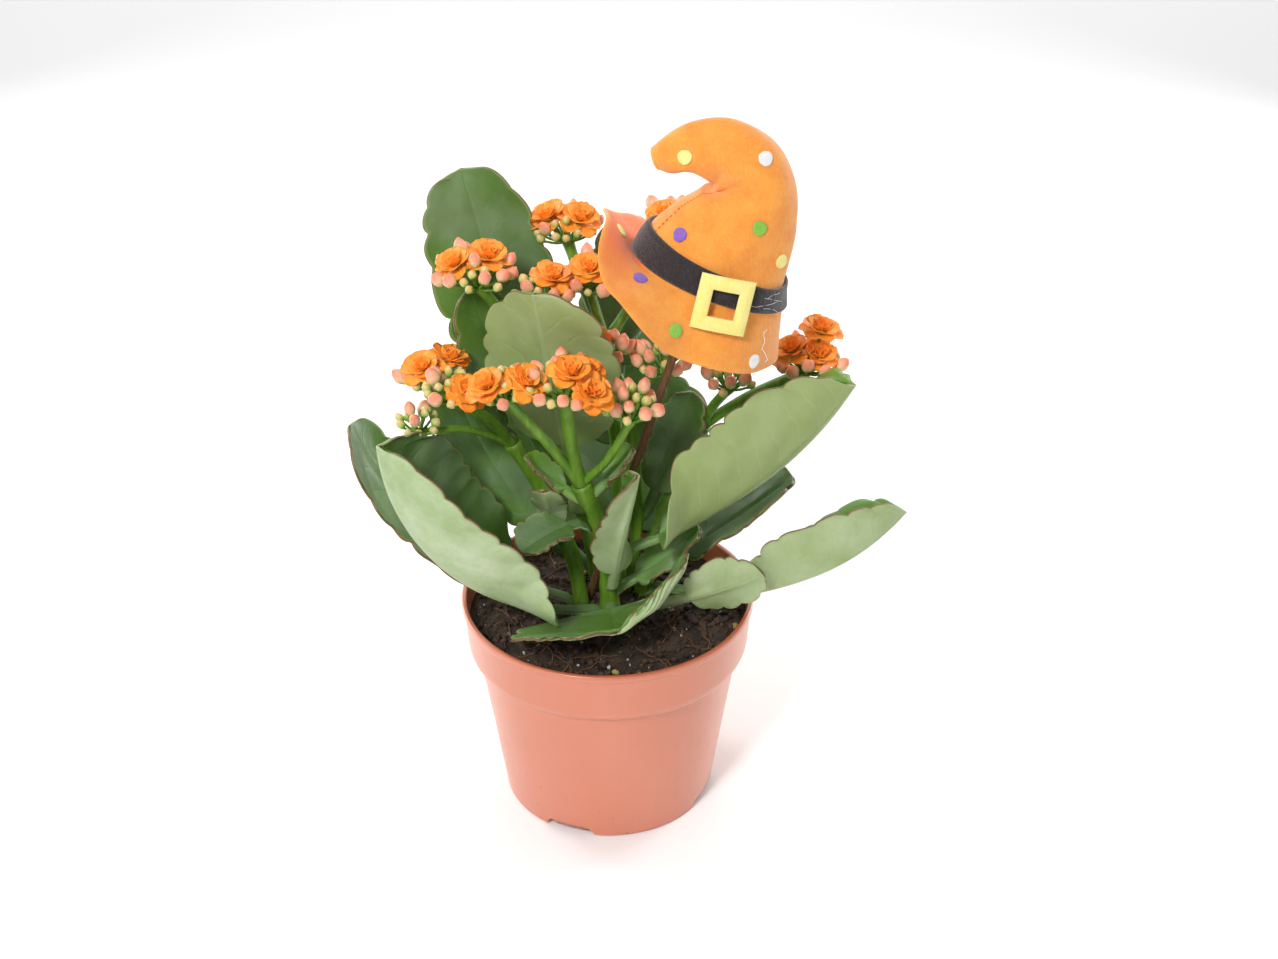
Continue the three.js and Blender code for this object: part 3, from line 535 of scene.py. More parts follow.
# Each leaf: its stem, height, heading (turn), pitch (rise), length and width, then what differs from a relaxed leaf.
# bend and swing: change of pitch and of heading to the tip. roll lifts the left side. left and right: how
# far each half is folded up at its margin. fold: the same at the midrib. petiole: the stalk's share of the length.
# tone is how fresh the green is, from 0 dark to 1 bright.
LEAVES = {
    "tall_left": ("back_left_stem", 62, 148, 66, 118, 50,
        dict(bend=8, fold=4, left=12, right=12, roll=-55, tone=0.1)),
    "round_left": ("back_left_stem", 44, 186, 66, 98, 30,
        dict(bend=6, fold=4, left=12, right=12, roll=-62, petiole=0.42, tone=0.2)),
    "far_left": ("left_stem", 24, 158, 43, 92, 30,
        dict(swing=12, bend=32, fold=5, left=15, right=15, roll=-62, tone=0.1)),
    "centre_back": ("back_left_stem", 36, 250, 73, 116, 56,
        dict(swing=-20, bend=4, fold=6, left=18, right=2, roll=12, petiole=0.34, tone=0.7)),
    "fold_left": ("front_stem", 4, 202, 8, 136, 84,
        dict(bend=79, fold=30, left=66, right=58, swing=-22, tone=0.15)),
    "low_left": ("left_stem", 3, 172, 12, 120, 44,
        dict(bend=58, fold=0, left=5, right=24, roll=0, tone=0.2)),
    "front": ("front_stem", 8, -85, 12, 38, 84,
        dict(bend=14, left=62, right=0, roll=8, fold=6, tone=0.35)),
    "low_front": ("front_stem", 3, -22, 24, 66, 26,
        dict(bend=8, fold=8, left=0, right=20, swing=10, roll=-75, petiole=0.48, tone=0.3)),
    "low_right": ("right_stem", 5, -28, 6, 117, 52,
        dict(bend=36, fold=72, left=-20, right=95, swing=62, petiole=0.34, tone=0.4)),
    "fold_right": ("front_stem", 32, 0, 18, 122, 76,
        dict(bend=44, fold=62, left=-45, right=92, petiole=0.15, tone=0.8)),
    "dark_right": ("right_stem", 12, 6, 28, 66, 38, dict(bend=14, tone=0.0)),
    "small_fold": ("front_stem", 18, -72, 69, 64, 26,
        dict(bend=8, fold=15, left=110, right=10, swing=56, tone=0.3)),
    "bract_right": ("front_stem", 63, 6, 46, 22, 20, dict(bend=10, tone=1.0)),
    "drooping": ("front_stem", 48, 208, 0, 26, 26, dict(bend=-30, tone=0.1)),
    "cupped": ("front_stem", 14, 8, 28, 40, 26, dict(bend=20, left=40, right=10, tone=0.7)),
    "dark_upright": ("middle_stem", 34, 30, 62, 54, 24, dict(bend=10, roll=40, tone=0.0)),
    "behind_hat": ("back_stem", 80, 75, 62, 72, 40, dict(bend=6, roll=20, tone=0.1)),
    "bract_left": ("left_stem", 36, 258, 60, 30, 16, dict(tone=0.4)),
    "bract_inner": ("front_stem", 60, 168, 35, 24, 16, dict(bend=10, tone=0.9)),
    "back_low": ("back_stem", 5, 95, 18, 92, 56, dict(bend=36, left=40, right=40, tone=0.1)),
    "back_right": ("right_stem", 10, 82, 26, 84, 46, dict(bend=34, left=45, right=30, tone=0.2)),
    "back_left": ("back_left_stem", 8, 138, 20, 90, 52, dict(bend=36, left=35, right=45, tone=0.15)),
    "back_tall": ("back_stem", 40, 90, 50, 88, 46, dict(bend=20, left=40, right=40, tone=0.1)),
}
RELAXED = dict(
    swing=0, bend=0, roll=0, twist=0, fold=12, left=25, right=25, petiole=0.16, wave=0.6, tone=0.2,
)
# Each flower head: its stem, its stalk, the dome's spread and lift, its buds,
# and its blooms from the stalk's end.
HEADS = {
    "head_front": ("front_stem", 0, 15, 8, 16, [(3, -4, 12), (10, -8, 6), (8, 2, 9)]),
    "head_front_left": ("front_stem", 1, 9.5, 8, 15, [(8, -3, 8), (-6, -3, 7)]),
    "head_small": ("front_stem", 2, 9, 9, 18, []),
    "head_left": ("left_stem", 1, 9, 7, 14, [(6, -4, 5)]),
    "head_left_back": ("left_stem", 0, 10, 7, 14, [(-3, -4, 9), (6, 4, 9)]),
    "head_low_left": ("left_stem", 2, 7, 7, 14, []),
    "head_upper_left": ("back_left_stem", 0, 13, 9, 18, [(-8, -2, 9), (4, 0, 11)]),
    "head_upper": ("back_left_stem", 1, 10, 8, 15, [(3, 0, 10)]),
    "head_top": ("back_stem", 0, 11, 9, 16, [(-7, 0, 9), (5, -2, 9)]),
    "head_back": ("back_stem", 1, 14, 9, 17, [(-4, -2, 10), (8, 0, 8)]),
    "head_middle": ("back_stem", 2, 10, 8, 15, [(0, -3, 9)]),
    "head_shade": ("middle_stem", 0, 7, 7, 12, [(-5, -2, 8)]),
    "head_inner": ("middle_stem", 1, 9, 8, 15, []),
    "head_under_hat": ("right_stem", 0, 8, 5, 13, []),
    "head_right": ("right_stem", 1, 11, 8, 15, [(4, -3, 8), (5, 1, 17), (-6, -1, 9)]),
}


def above(p):
    """A point given above the soil."""
    return vec(p[0], p[1], SOIL_TOP + (p[2] if len(p) > 2 else 0))


def trunk_curve(stem):
    trunk = STEMS[stem][1]
    foot = vec(*trunk[0], SOIL_TOP - STEM_DEPTH)
    return Curve([foot] + [above(p) for p in trunk])


def stalk_curve(stem, index):
    trunk, stalks = STEMS[stem][1:]
    return Curve([above(trunk[-1])] + [above(p) for p in stalks[index][1]])


def trunk_at(stem, height):
    curve, low, high = trunk_curve(stem), 0.0, 1.0
    for _ in range(24):
        mid = (low + high) / 2
        low, high = (mid, high) if curve.at(mid)[2] < SOIL_TOP + height else (low, mid)
    return curve.at(low)


# ---- leaves ----
LEAF_FRAMES = 200
VEIN_SLANT = 0.75  # how far a vein runs back towards the petiole for each millimetre across
VEIN_REACH = 110  # the length over which `run` grows by one
SCALLOP_PITCH = 0.145
SCALLOP_DEPTH = 2.6


def midrib(leaf):
    """Points and frames along a leaf's midrib."""
    radius = STEMS[leaf["stem"]][0]
    s = np.linspace(0, 1, LEAF_FRAMES + 1)
    azimuth = leaf["turn"] + leaf["swing"] * s * s
    along = heading(azimuth, leaf["rise"] + leaf["bend"] * s)
    side = heading(azimuth + 90, 0 * s)
    roll = np.radians(leaf["roll"] + leaf["twist"] * s)[:, None]
    left = side * np.cos(roll) + np.cross(along, side) * np.sin(roll)
    start = trunk_at(leaf["stem"], leaf["height"])
    start = start + heading(leaf["turn"], 0) * (radius + PETIOLE_WIDTH / 2 + GAP)
    step = along[:-1] * leaf["length"] / LEAF_FRAMES
    points = start + np.vstack([np.zeros(3), np.cumsum(step, axis=0)])
    return points, left, np.cross(along, left)


def leaf_surface(leaf, frames, s, w, v, h):
    """Points at share s of the length, v across (-1 to 1) a half width w, h off the middle surface."""
    q = np.abs(v)
    reach = 2 * q * w / leaf["width"]
    bow = 0.04 * reach * reach * s * s
    at = np.clip(s - bow, 0, 1) * LEAF_FRAMES
    low = np.minimum(at.astype(int), LEAF_FRAMES - 1)
    part = (at - low)[..., None]
    point, left, up = (f[low] * (1 - part) + f[low + 1] * part for f in frames)
    opened = smooth(leaf["petiole"] * 0.5, leaf["petiole"] + 0.25, s)
    fold = np.radians(leaf["fold"]) * opened
    edge = np.radians(np.where(v > 0, leaf["left"], leaf["right"])) * opened
    across_bend = edge - fold
    across_bend = np.where(np.abs(across_bend) < 1e-3, 1e-3, across_bend)
    turn = fold + across_bend * q
    across = (np.sin(turn) - np.sin(fold)) / across_bend
    lift = (np.cos(fold) - np.cos(turn)) / across_bend
    wave = leaf["wave"] * q * q * np.sin(2 * np.pi * (2.2 * s + np.where(v > 0, 0, 0.4))) * opened
    side = np.sign(v)
    sideways = (side * (w * across - h * np.sin(turn)))[..., None]
    upwards = (w * lift + wave + h * np.cos(turn))[..., None]
    return point + left * sideways + up * upwards


def leaf_mesh(leaf, rows=104, columns=37):
    """A thick leaf with scalloped, rounded margins, and its petiole down to the stem."""
    rng = random.Random(leaf["name"])
    petiole, length = leaf["petiole"], leaf["length"]
    stalk_rows = 12
    angle = np.linspace(0, np.pi, rows)
    outline_s = petiole + (1 - petiole) * ((1 - np.cos(angle)) / 2) ** 0.9
    outline_w = np.maximum(PETIOLE_WIDTH / 2, leaf["width"] / 2 * np.sin(angle).clip(0) ** 0.6)
    tip = smooth(0.93 * np.pi, np.pi, angle)
    outline_w = outline_w * (1 - tip) + np.sqrt(np.maximum(0, 1 - tip)) * 0.9 * outline_w * tip + 0.15
    ds, dw = np.gradient(outline_s) * length, np.gradient(outline_w)
    step = np.hypot(ds, dw)
    arc = np.cumsum(step) / step.sum()
    pitch = min(15.5, max(5.0, SCALLOP_PITCH * length))
    lobes = max(4, round(step.sum() / pitch))
    deep = min(SCALLOP_DEPTH, 0.068 * leaf["width"])
    notch = {}
    for sign in (-1, 1):
        phase = lobes * arc + 0.25 * np.sin(2 * np.pi * (arc * 2.3 + rng.random())) + 0.5 * rng.random()
        depth = deep * smooth(0.1, 0.25, arc) * (1 + 0.35 * np.sin(2 * np.pi * (arc * 3.7 + rng.random())))
        notch[sign] = depth * (1 - np.abs(np.sin(np.pi * phase)) ** 0.6)
    stalk_s = petiole * np.linspace(0, 1, stalk_rows, endpoint=False)
    s_row = np.concatenate([stalk_s, outline_s])
    pad = np.zeros(stalk_rows)
    n_s = np.concatenate([pad, -dw / step])
    n_w = np.concatenate([pad, ds / step])
    w_row = np.concatenate([pad + PETIOLE_WIDTH / 2, outline_w])
    cut = {sign: np.concatenate([pad, notch[sign]]) for sign in notch}

    c = np.linspace(-1, 1, columns)
    ring_c = np.concatenate([c, c[-2:0:-1]])
    ring_side = np.concatenate([np.ones(columns), -np.ones(columns - 2)])
    ring_side[[0, columns - 1]] = 0
    S = np.repeat(s_row[:, None], len(ring_c), 1)
    C = np.repeat(ring_c[None, :], len(s_row), 0)
    face = np.repeat(ring_side[None, :], len(s_row), 0)
    stalk = 1 - smooth(petiole * 0.7, petiole + 0.15, S)
    cut_here = np.where(C > 0, cut[1][:, None], cut[-1][:, None])
    w = np.maximum(0.15, w_row[:, None] - cut_here * n_w[:, None])
    margin = np.minimum((LEAF_EDGE + 1.6 * stalk) / 2, 0.9 * w)
    core = 1 - margin / w
    share = 0.86
    inner = np.minimum(np.abs(C) / share, 1) * core
    outer = np.clip((np.abs(C) - share) / (1 - share), 0, 1) * np.pi / 2
    q = inner + (1 - core) * np.sin(outer)
    v = np.sign(C) * q
    thick = LEAF_THICKNESS + (LEAF_EDGE - LEAF_THICKNESS) * q + 1.6 * stalk
    thin = np.concatenate([np.ones(stalk_rows), np.sqrt(1 - smooth(0.94, 1.0, arc) * 0.8)])[:, None]
    h = face * np.cos(outer) * thick / 2 * thin
    x = v * w
    groove = np.exp(-((x / 1.5) ** 2)) * (1 - stalk) * smooth(1.0, 0.8, S)
    h = h - 0.55 * groove
    a, b, d = (rng.uniform(0, 6.3) for _ in range(3))
    y = S * length
    swell = np.sin(0.21 * x + 0.08 * y + a) * np.sin(0.15 * y - 0.13 * x + b)
    swell = swell + 0.6 * np.sin(0.4 * x + 0.2 * y + d)
    h = h + 0.38 * swell * (1 - stalk) * smooth(0.02, 0.3, q)
    S = S - cut_here * n_s[:, None] * q**3 / length
    rings = leaf_surface(leaf, midrib(leaf), S.clip(0, 1), w, v, h)
    clasp = trunk_at(leaf["stem"], leaf["height"] - 5)
    centre = rings[0].mean(0)
    root = [rings[0] - centre + clasp + (centre - clasp) * t for t in (0.35, 0.6, 0.85)]
    rings = np.concatenate([root, rings])
    lead = lambda grid: np.concatenate([np.repeat(grid[:1], 3, 0), grid])
    mesh = Mesh()
    run = (y - VEIN_SLANT * np.abs(x)) / VEIN_REACH
    edge = w * (1 - q) + 9 * stalk
    mesh.loops(rings, top=lead(face), across=lead(v), run=lead(run), edge=lead(edge), tone=leaf["tone"])
    return mesh


# ---- stems ----
def stem_mesh(name):
    radius, trunk, stalks = STEMS[name]
    mesh = Mesh()
    rng = random.Random(name)
    points = trunk_curve(name).many(60)
    heights = [leaf[1] for leaf in LEAVES.values() if leaf[0] == name]
    z = points[:, 2] - SOIL_TOP
    radii = radius * (1 + 0.04 * np.sin(z * 0.21 + rng.random() * 6))
    for height in heights:
        radii = radii + 0.5 * np.exp(-(((z - height + 2) / 3.5) ** 2))
    radii = radii + 0.7 * np.exp(-(((z - trunk[-1][2]) / 4) ** 2))
    mesh.loops(tube(points, radii, 18))
    for index, (stalk_radius, _) in enumerate(stalks):
        curve = stalk_curve(name, index)
        points = curve.many(30)
        end, out = curve.end()
        points = np.vstack([points, end + out * 1.5, end + out * 3])
        t = np.linspace(0, 1, len(points))
        swollen = 0.25 * np.exp(-((t / 0.12) ** 2)) + 0.22 * np.exp(-(((t - 1) / 0.08) ** 2))
        radii = stalk_radius * (1 + swollen)
        mesh.loops(tube(points, radii, 14))
    return mesh


# ---- flower heads ----
GOLDEN_ANGLE = 2.399963
BLOOM_REACH = (8.2, 9.4)  # from a flower's axis to its outer petals' tips
BLOOM_CLEAR = 5.0  # clear room that buds leave round a bloom
BUD_CLEAR = 1.9  # and round another bud
YOUNG_SHARE = 0.3
# Each whorl: petals, their share of the reach, width for length, pitch at the foot and curl.
WHORLS = (
    (6, 1.00, 0.92, 0.32, 0.60),
    (6, 0.88, 0.86, 0.68, 0.40),
    (5, 0.66, 0.72, 1.02, 0.10),
    (4, 0.46, 0.54, 1.28, -0.20),
)


def frame_on(direction, spin):
    """Sideways, sideways and forward unit vectors for a direction."""
    direction = unit(direction)
    side = unit(np.cross(direction, vec(0.3, 0.9, 0.2) if abs(direction[1]) < 0.8 else vec(1, 0, 0)))
    other = np.cross(direction, side)
    c, s = math.cos(spin), math.sin(spin)
    return np.array([c * side + s * other, c * other - s * side, direction])


def add_petal(mesh, origin, axes, turn, pitch, length, width, tone, curl, rows=8, base=0.0, thick=0.5):
    """One closed petal: leaves the axis at `turn`, `pitch` radians above level, curls down by `curl`."""
    t = np.linspace(0, 1, rows)
    angle = pitch - curl * t**1.5
    step = length / (rows - 1)
    out = base + np.concatenate([[0], np.cumsum(np.cos(angle[:-1]) * step)])
    rise = np.concatenate([[0], np.cumsum(np.sin(angle[:-1]) * step)])
    half = width / 2 * np.maximum(0.12, np.sin(np.pi * (0.10 + 0.74 * t**1.1))) ** 0.6
    half[-1] *= 0.5
    c = np.array([-1, -0.6, 0, 0.6, 1, 0.6, 0, -0.6])
    face = np.array([0, 1, 1, 1, 0, -1, -1, -1.0])
    cup = 0.28 * half[:, None] * c**2
    lift = rise[:, None] + cup + face * thick / 2 * (1 - 0.5 * t[:, None])
    forward = out[:, None] - 0 * c
    x, y, z = axes
    radial = math.cos(turn) * x + math.sin(turn) * y
    sideways = math.cos(turn) * y - math.sin(turn) * x
    rings = (
        origin
        + forward[..., None] * radial
        + (half[:, None] * c)[..., None] * sideways
        + lift[..., None] * z
    )
    mesh.loops(rings, along=t[:, None] + 0 * c, tone=tone)


def add_bloom(mesh, at, direction, rng, size):
    """A double flower: whorls of petals, flatter outside and steeper inside."""
    axes = frame_on(direction, rng.uniform(0, 6))
    for level, (count, reach, width, pitch, curl) in enumerate(WHORLS):
        origin = at + axes[2] * (0.5 * level - 1.2)
        start = rng.uniform(0, 6)
        for i in range(count):
            turn = start + 2 * math.pi * i / count + rng.uniform(-0.12, 0.12)
            tone = min(1, max(0, rng.uniform(0.0, 0.5) + 0.08 * level))
            length = size * reach * rng.uniform(0.92, 1.06)
            steep = pitch + rng.uniform(-0.1, 0.14)
            add_petal(mesh, origin, axes, turn, steep, length, size * width, tone, curl, base=0.4)


def add_bud(mesh, at, direction, rng, length, radius, tone):
    """A furled bud with four soft twisted ridges."""
    axes = frame_on(direction, rng.uniform(0, 6))
    t = np.linspace(0, 1, 10)
    profile = radius * (np.sin(np.pi * np.clip(0.13 + 0.87 * t, 0, 1) ** 1.05)) ** 0.62
    profile[-1] = 0.12 * radius
    angle = np.linspace(0, 2 * np.pi, 12, endpoint=False)
    ridges = 1 + 0.09 * np.cos(4 * angle[None, :] + 1.3 * t[:, None])
    r = profile[:, None] * ridges
    rings = (
        at
        + (r * np.cos(angle))[..., None] * axes[0]
        + (r * np.sin(angle))[..., None] * axes[1]
        + (length * t)[:, None, None] * axes[2]
    )
    mesh.loops(rings, along=t[:, None] + 0 * angle, tone=tone)


def head_pieces(name):
    """Petals, buds and green parts of one flower head."""
    stem, index, spread, lift, count, blooms = HEADS[name]
    rng = random.Random(name)
    end, out = stalk_curve(stem, index).end()
    hub = end + out * (GAP + 2)
    petals, buds, green = Mesh(), Mesh(), Mesh()
    taken = []

    def carry(tip, thickness):
        reach = tip - hub
        knee = hub + 0.45 * reach + vec(0, 0, -0.12 * np.linalg.norm(reach))
        path = Curve([hub - out, knee, tip]).many(7)
        green.loops(tube(path, np.linspace(1.25, 1, 7) * thickness, 7), along=0.2, tone=0.5)
        return unit(path[-1] - path[-2])

    def calyx(at, direction, size, count=4):
        axes = frame_on(direction, rng.uniform(0, 6))
        for i in range(count):
            turn = 2 * math.pi * i / count
            foot = at - axes[2] * 0.5
            add_petal(green, foot, axes, turn, 1.25, size, 0.62 * size, 0.5, -0.12, 5, 0.55, 0.45)

    for offset in blooms:
        tip = hub + vec(*offset)
        carry(tip - vec(0, 0, 2), 0.8)
        upright = unit(unit(tip - hub) + vec(0, -0.25, 0.9))
        calyx(tip - upright * 2.2, upright, 3.6)
        add_bloom(petals, tip, upright, rng, rng.uniform(*BLOOM_REACH))
        taken.append((tip, 7.0))
    tries = 0
    while sum(size < 5 for _, size in taken) < 1.4 * count and tries < 700:
        tries += 1
        from_axis = math.radians(88) * math.sqrt(rng.random())
        round_about = tries * GOLDEN_ANGLE + rng.uniform(-0.2, 0.2)
        level = math.sin(from_axis) * spread * rng.uniform(0.85, 1.05)
        offset = vec(level * math.cos(round_about), level * math.sin(round_about), 0)
        offset[2] = lift * (0.25 + math.cos(from_axis)) * rng.uniform(0.85, 1.1)
        tip = hub + offset
        young = rng.random() < YOUNG_SHARE
        radius = rng.uniform(1.5, 2.0) if young else rng.uniform(2.2, 2.9)
        length = rng.uniform(3.4, 4.6) if young else rng.uniform(5.6, 7.6)
        rooms = ((other, BUD_CLEAR if size < 5 else BLOOM_CLEAR) for other, size in taken)
        if any(np.linalg.norm(tip - other) < radius + room for other, room in rooms):
            continue
        carry(tip, 0.5)
        direction = unit(unit(tip - hub) * 0.8 + vec(0, 0, 0.65))
        calyx(tip, direction, 2.0 if young else 2.9)
        unripe = rng.uniform(0.8, 1.0) if young else rng.uniform(0, 0.6)
        add_bud(buds, tip, direction, rng, length, radius, unripe)
        taken.append((tip, radius))
    return petals, buds, green


# ---- pot ----
def filleted(profile, steps=4):
    """A polyline of (r, z, corner radius) with its corners rounded."""
    out = []
    for i, (r, z, radius) in enumerate(profile):
        here = np.array([r, z], float)
        if radius == 0 or i in (0, len(profile) - 1):
            out.append(here)
            continue
        before = np.array(profile[i - 1][:2], float) - here
        after = np.array(profile[i + 1][:2], float) - here
        reach = min(radius, 0.45 * np.linalg.norm(before), 0.45 * np.linalg.norm(after))
        a, b = here + unit(before) * reach, here + unit(after) * reach
        for k in range(steps + 1):
            t = k / steps
            out.append((1 - t) ** 2 * a + 2 * t * (1 - t) * here + t * t * b)
    return np.array(out)


def spaced(points, gap):
    """Extra points on the long runs of a polyline."""
    out = [points[0]]
    for a, b in zip(points, points[1:]):
        n = max(1, math.ceil(np.linalg.norm(b - a) / gap))
        out += [a + (b - a) * k / n for k in range(1, n + 1)]
    return np.array(out)


def pot_mesh():
    floor_top = FOOT_RISE + POT_WALL
    bead = 0.9
    profile = filleted([
        (0.4, 0, 0),
        (PAD_RADIUS, 0, 0.6),
        (PAD_RADIUS + 0.8, FOOT_RISE, 0.8),
        (FOOT_RADIUS - 3 * POT_WALL, FOOT_RISE, 1.2),
        (FOOT_RADIUS - 2 * POT_WALL, 0, 0.8),
        (FOOT_RADIUS, 0, 1.0),
        (FOOT_RADIUS + 0.1, 2.0, 0.4),
        (BODY_TOP - 0.2, BODY_TOP_Z - COLLAR_STEP, 0.7),
        (COLLAR_FOOT, BODY_TOP_Z, 1.4),
        (COLLAR_FOOT + 0.5, BODY_TOP_Z + 2.2, 1.5),
        (POT_RADIUS - bead, POT_HEIGHT - 3.4, 0.8),
        (POT_RADIUS, POT_HEIGHT - 2.6, 0.8),
        (POT_RADIUS, POT_HEIGHT, 0.9),
        (POT_RADIUS - POT_WALL - bead, POT_HEIGHT, 0.9),
        (POT_RADIUS - POT_WALL - bead - 0.2, POT_HEIGHT - 2.6, 0.7),
        (COLLAR_FOOT - POT_WALL, BODY_TOP_Z + POT_WALL, 2.0),
        (BODY_TOP - POT_WALL, BODY_TOP_Z - COLLAR_STEP + POT_WALL, 2.0),
        (inside_radius(floor_top), floor_top, 1.0),
        (0.4, floor_top, 0),
    ])
    profile = spaced(profile, 3.0)
    turns = 192
    angle = np.linspace(0, 2 * np.pi, turns, endpoint=False)
    r, z = profile[:, :1] + 0 * angle, profile[:, 1:] + 0 * angle
    notch = 0 * angle
    for i in range(FOOT_NOTCHES):
        at = 2 * np.pi * (i + 0.5) / FOOT_NOTCHES + math.radians(NOTCH_TURN)
        off = np.abs((angle - at + np.pi) % (2 * np.pi) - np.pi) * FOOT_RADIUS
        notch = np.maximum(notch, smooth(NOTCH_WIDTH / 2 + 0.5, NOTCH_WIDTH / 2 - 0.8, off))
    foot = (profile[:, :1] > FOOT_RADIUS - 4 * POT_WALL) & (z < NOTCH_DEPTH)
    z = np.where(foot, np.maximum(z, z + (NOTCH_DEPTH - z) * notch), z)
    warp = 0.25 * np.sin(2 * angle + 0.7) + 0.12 * np.sin(5 * angle)
    r = r + warp * smooth(20, 90, z) * (r > 5)
    rings = np.stack([r * np.cos(angle), r * np.sin(angle), z], -1)
    # `lip` marks the rim's top and inner edge, where a darker line of painted shade goes
    lip = smooth(POT_HEIGHT - 1.6, POT_HEIGHT - 0.4, z) * smooth(POT_RADIUS + 0.2, POT_RADIUS - 0.9, r)
    mesh = Mesh()
    mesh.loops(rings, rim=lip)
    return mesh


def drain_cutter():
    mesh = Mesh()
    ring = (PAD_RADIUS + FOOT_RADIUS - 2 * POT_WALL) / 2
    for i in range(DRAIN_HOLES):
        a = 2 * np.pi * i / DRAIN_HOLES
        x, y = ring * math.cos(a), ring * math.sin(a)
        mesh.loops(tube([(x, y, -2), (x, y, 12)], DRAIN_RADIUS, 32))
    data = bpy.data.meshes.new("drain_cutter")
    data.from_pydata((np.vstack(mesh.verts) * 0.001).tolist(), [], mesh.faces)
    obj = bpy.data.objects.new("drain_cutter", data)
    bpy.context.scene.collection.objects.link(obj)
    return obj


# ---- soil ----
def rough_height(x, y):
    """Lumps of the soil's surface."""
    waves = (
        (0.11, 0.05, 0.3), (-0.07, 0.13, 1.9), (0.21, 0.17, 4.0), (0.33, -0.29, 2.2),
        (0.62, 0.41, 0.9), (-0.55, 0.83, 5.1), (1.13, 0.37, 3.3), (0.47, -1.21, 1.1),
    )
    total = 0
    for k, (a, b, phase) in enumerate(waves):
        total = total + np.sin(a * x + b * y + phase + np.sin(b * x - a * y)) * (0.75 if k < 4 else 0.4)
    return total * 0.5


def soil_level(x, y):
    r = np.hypot(x, y) / inside_radius(SOIL_TOP - SOIL_MOUND)
    return SOIL_TOP - SOIL_MOUND * r**1.6 + 0.9 * rough_height(x, y) * smooth(1.02, 0.93, r)


def soil_mesh():
    edge = inside_radius(SOIL_TOP - SOIL_MOUND) - 0.2
    angle = np.linspace(0, 2 * np.pi, 160, endpoint=False)
    r = np.concatenate([[0.3], np.linspace(1.2, edge, 52)])[:, None] + 0 * angle
    x, y = r * np.cos(angle), r * np.sin(angle)
    top = np.stack([x, y, soil_level(x, y)], -1)
    neck, waist = inside_radius(66) - GAP, BODY_TOP_Z - 4
    side = [np.stack([neck * np.cos(angle), neck * np.sin(angle), 72.5 + 0 * angle], -1)]
    for z in (66.0, 30.0, FOOT_RISE + POT_WALL + GAP):
        r = inside_radius(min(z, waist)) - GAP
        side.append(np.stack([r * np.cos(angle), r * np.sin(angle), z + 0 * angle], -1))
    mesh = Mesh()
    mesh.loops(np.concatenate([top, side]))
    return mesh


def add_crumb(mesh, at, size, rng, squash=0.75):
    """A small irregular lump."""
    turns, rows = 7, 5
    a = np.linspace(0, 2 * np.pi, turns, endpoint=False) + rng.uniform(0, 6)
    p = np.linspace(0.12, np.pi - 0.12, rows)[:, None]
    shape = np.array([[rng.uniform(0.75, 1.2) for _ in range(turns)] for _ in range(rows)])
    r = size * shape
    rings = np.stack([r * np.sin(p) * np.cos(a), r * np.sin(p) * np.sin(a), -squash * r * np.cos(p)], -1)
    mesh.loops(at + rings @ frame_on(vec(rng.gauss(0, 1), rng.gauss(0, 1), rng.gauss(0, 1)), 0))


def scattered(count, low, high, name, squash=0.75, sink=0.3):
    rng = random.Random(name)
    mesh = Mesh()
    reach = inside_radius(SOIL_TOP - SOIL_MOUND) - 2
    while count:
        x, y = rng.uniform(-reach, reach), rng.uniform(-reach, reach)
        size = low + (high - low) * rng.random() ** 2
        if math.hypot(x, y) < reach - size:
            add_crumb(mesh, vec(x, y, float(soil_level(x, y)) + size * (squash - sink)), size, rng, squash)
            count -= 1
    return mesh


def rootlets(count):
    rng = random.Random("rootlets")
    mesh = Mesh()
    for _ in range(count):
        a, r = rng.uniform(0, 6.3), 52 * math.sqrt(rng.random())
        x, y, turn = r * math.cos(a), r * math.sin(a), rng.uniform(0, 6.3)
        points = []
        for _ in range(14):
            points.append((x, y, float(soil_level(x, y)) + 0.5 + rng.uniform(0, 0.7)))
            turn += rng.uniform(-0.4, 0.4)
            x, y = x + 1.6 * math.cos(turn), y + 1.6 * math.sin(turn)
            if math.hypot(x, y) > 54:
                break
        if len(points) > 3:
            mesh.loops(tube(points, rng.uniform(0.18, 0.34), 6))
    return mesh


# ---- hat ----
HAT_AT = vec(39, -8, 240)
HAT_TILT = 21
HAT_SPINE = np.array([
    (0, 0, HAT_RADIUS), (3, 9, 0.92 * HAT_RADIUS), (9, 20, 0.78 * HAT_RADIUS), (14, 30, 0.62 * HAT_RADIUS),
    (15, 38, 0.53 * HAT_RADIUS), (11.5, 45, 0.48 * HAT_RADIUS), (3, 50, 0.42 * HAT_RADIUS),
    (-7, 51, 0.31 * HAT_RADIUS), (-15, 49, 0.24 * HAT_RADIUS), (-20, 47.5, 0.15 * HAT_RADIUS)])
LAST = len(HAT_SPINE) - 1
BRIM_FLARE = [16, 30, 60, 96, 128, 80, 22, 18]
BRIM_REACH = [1, 1, 0.95, 0.85, 0.78, 0.95, 1, 1]
STICK_FOOT = vec(-8, 8, SOIL_TOP)
STICK_HEAD = vec(40, -8, SOIL_TOP + 168)


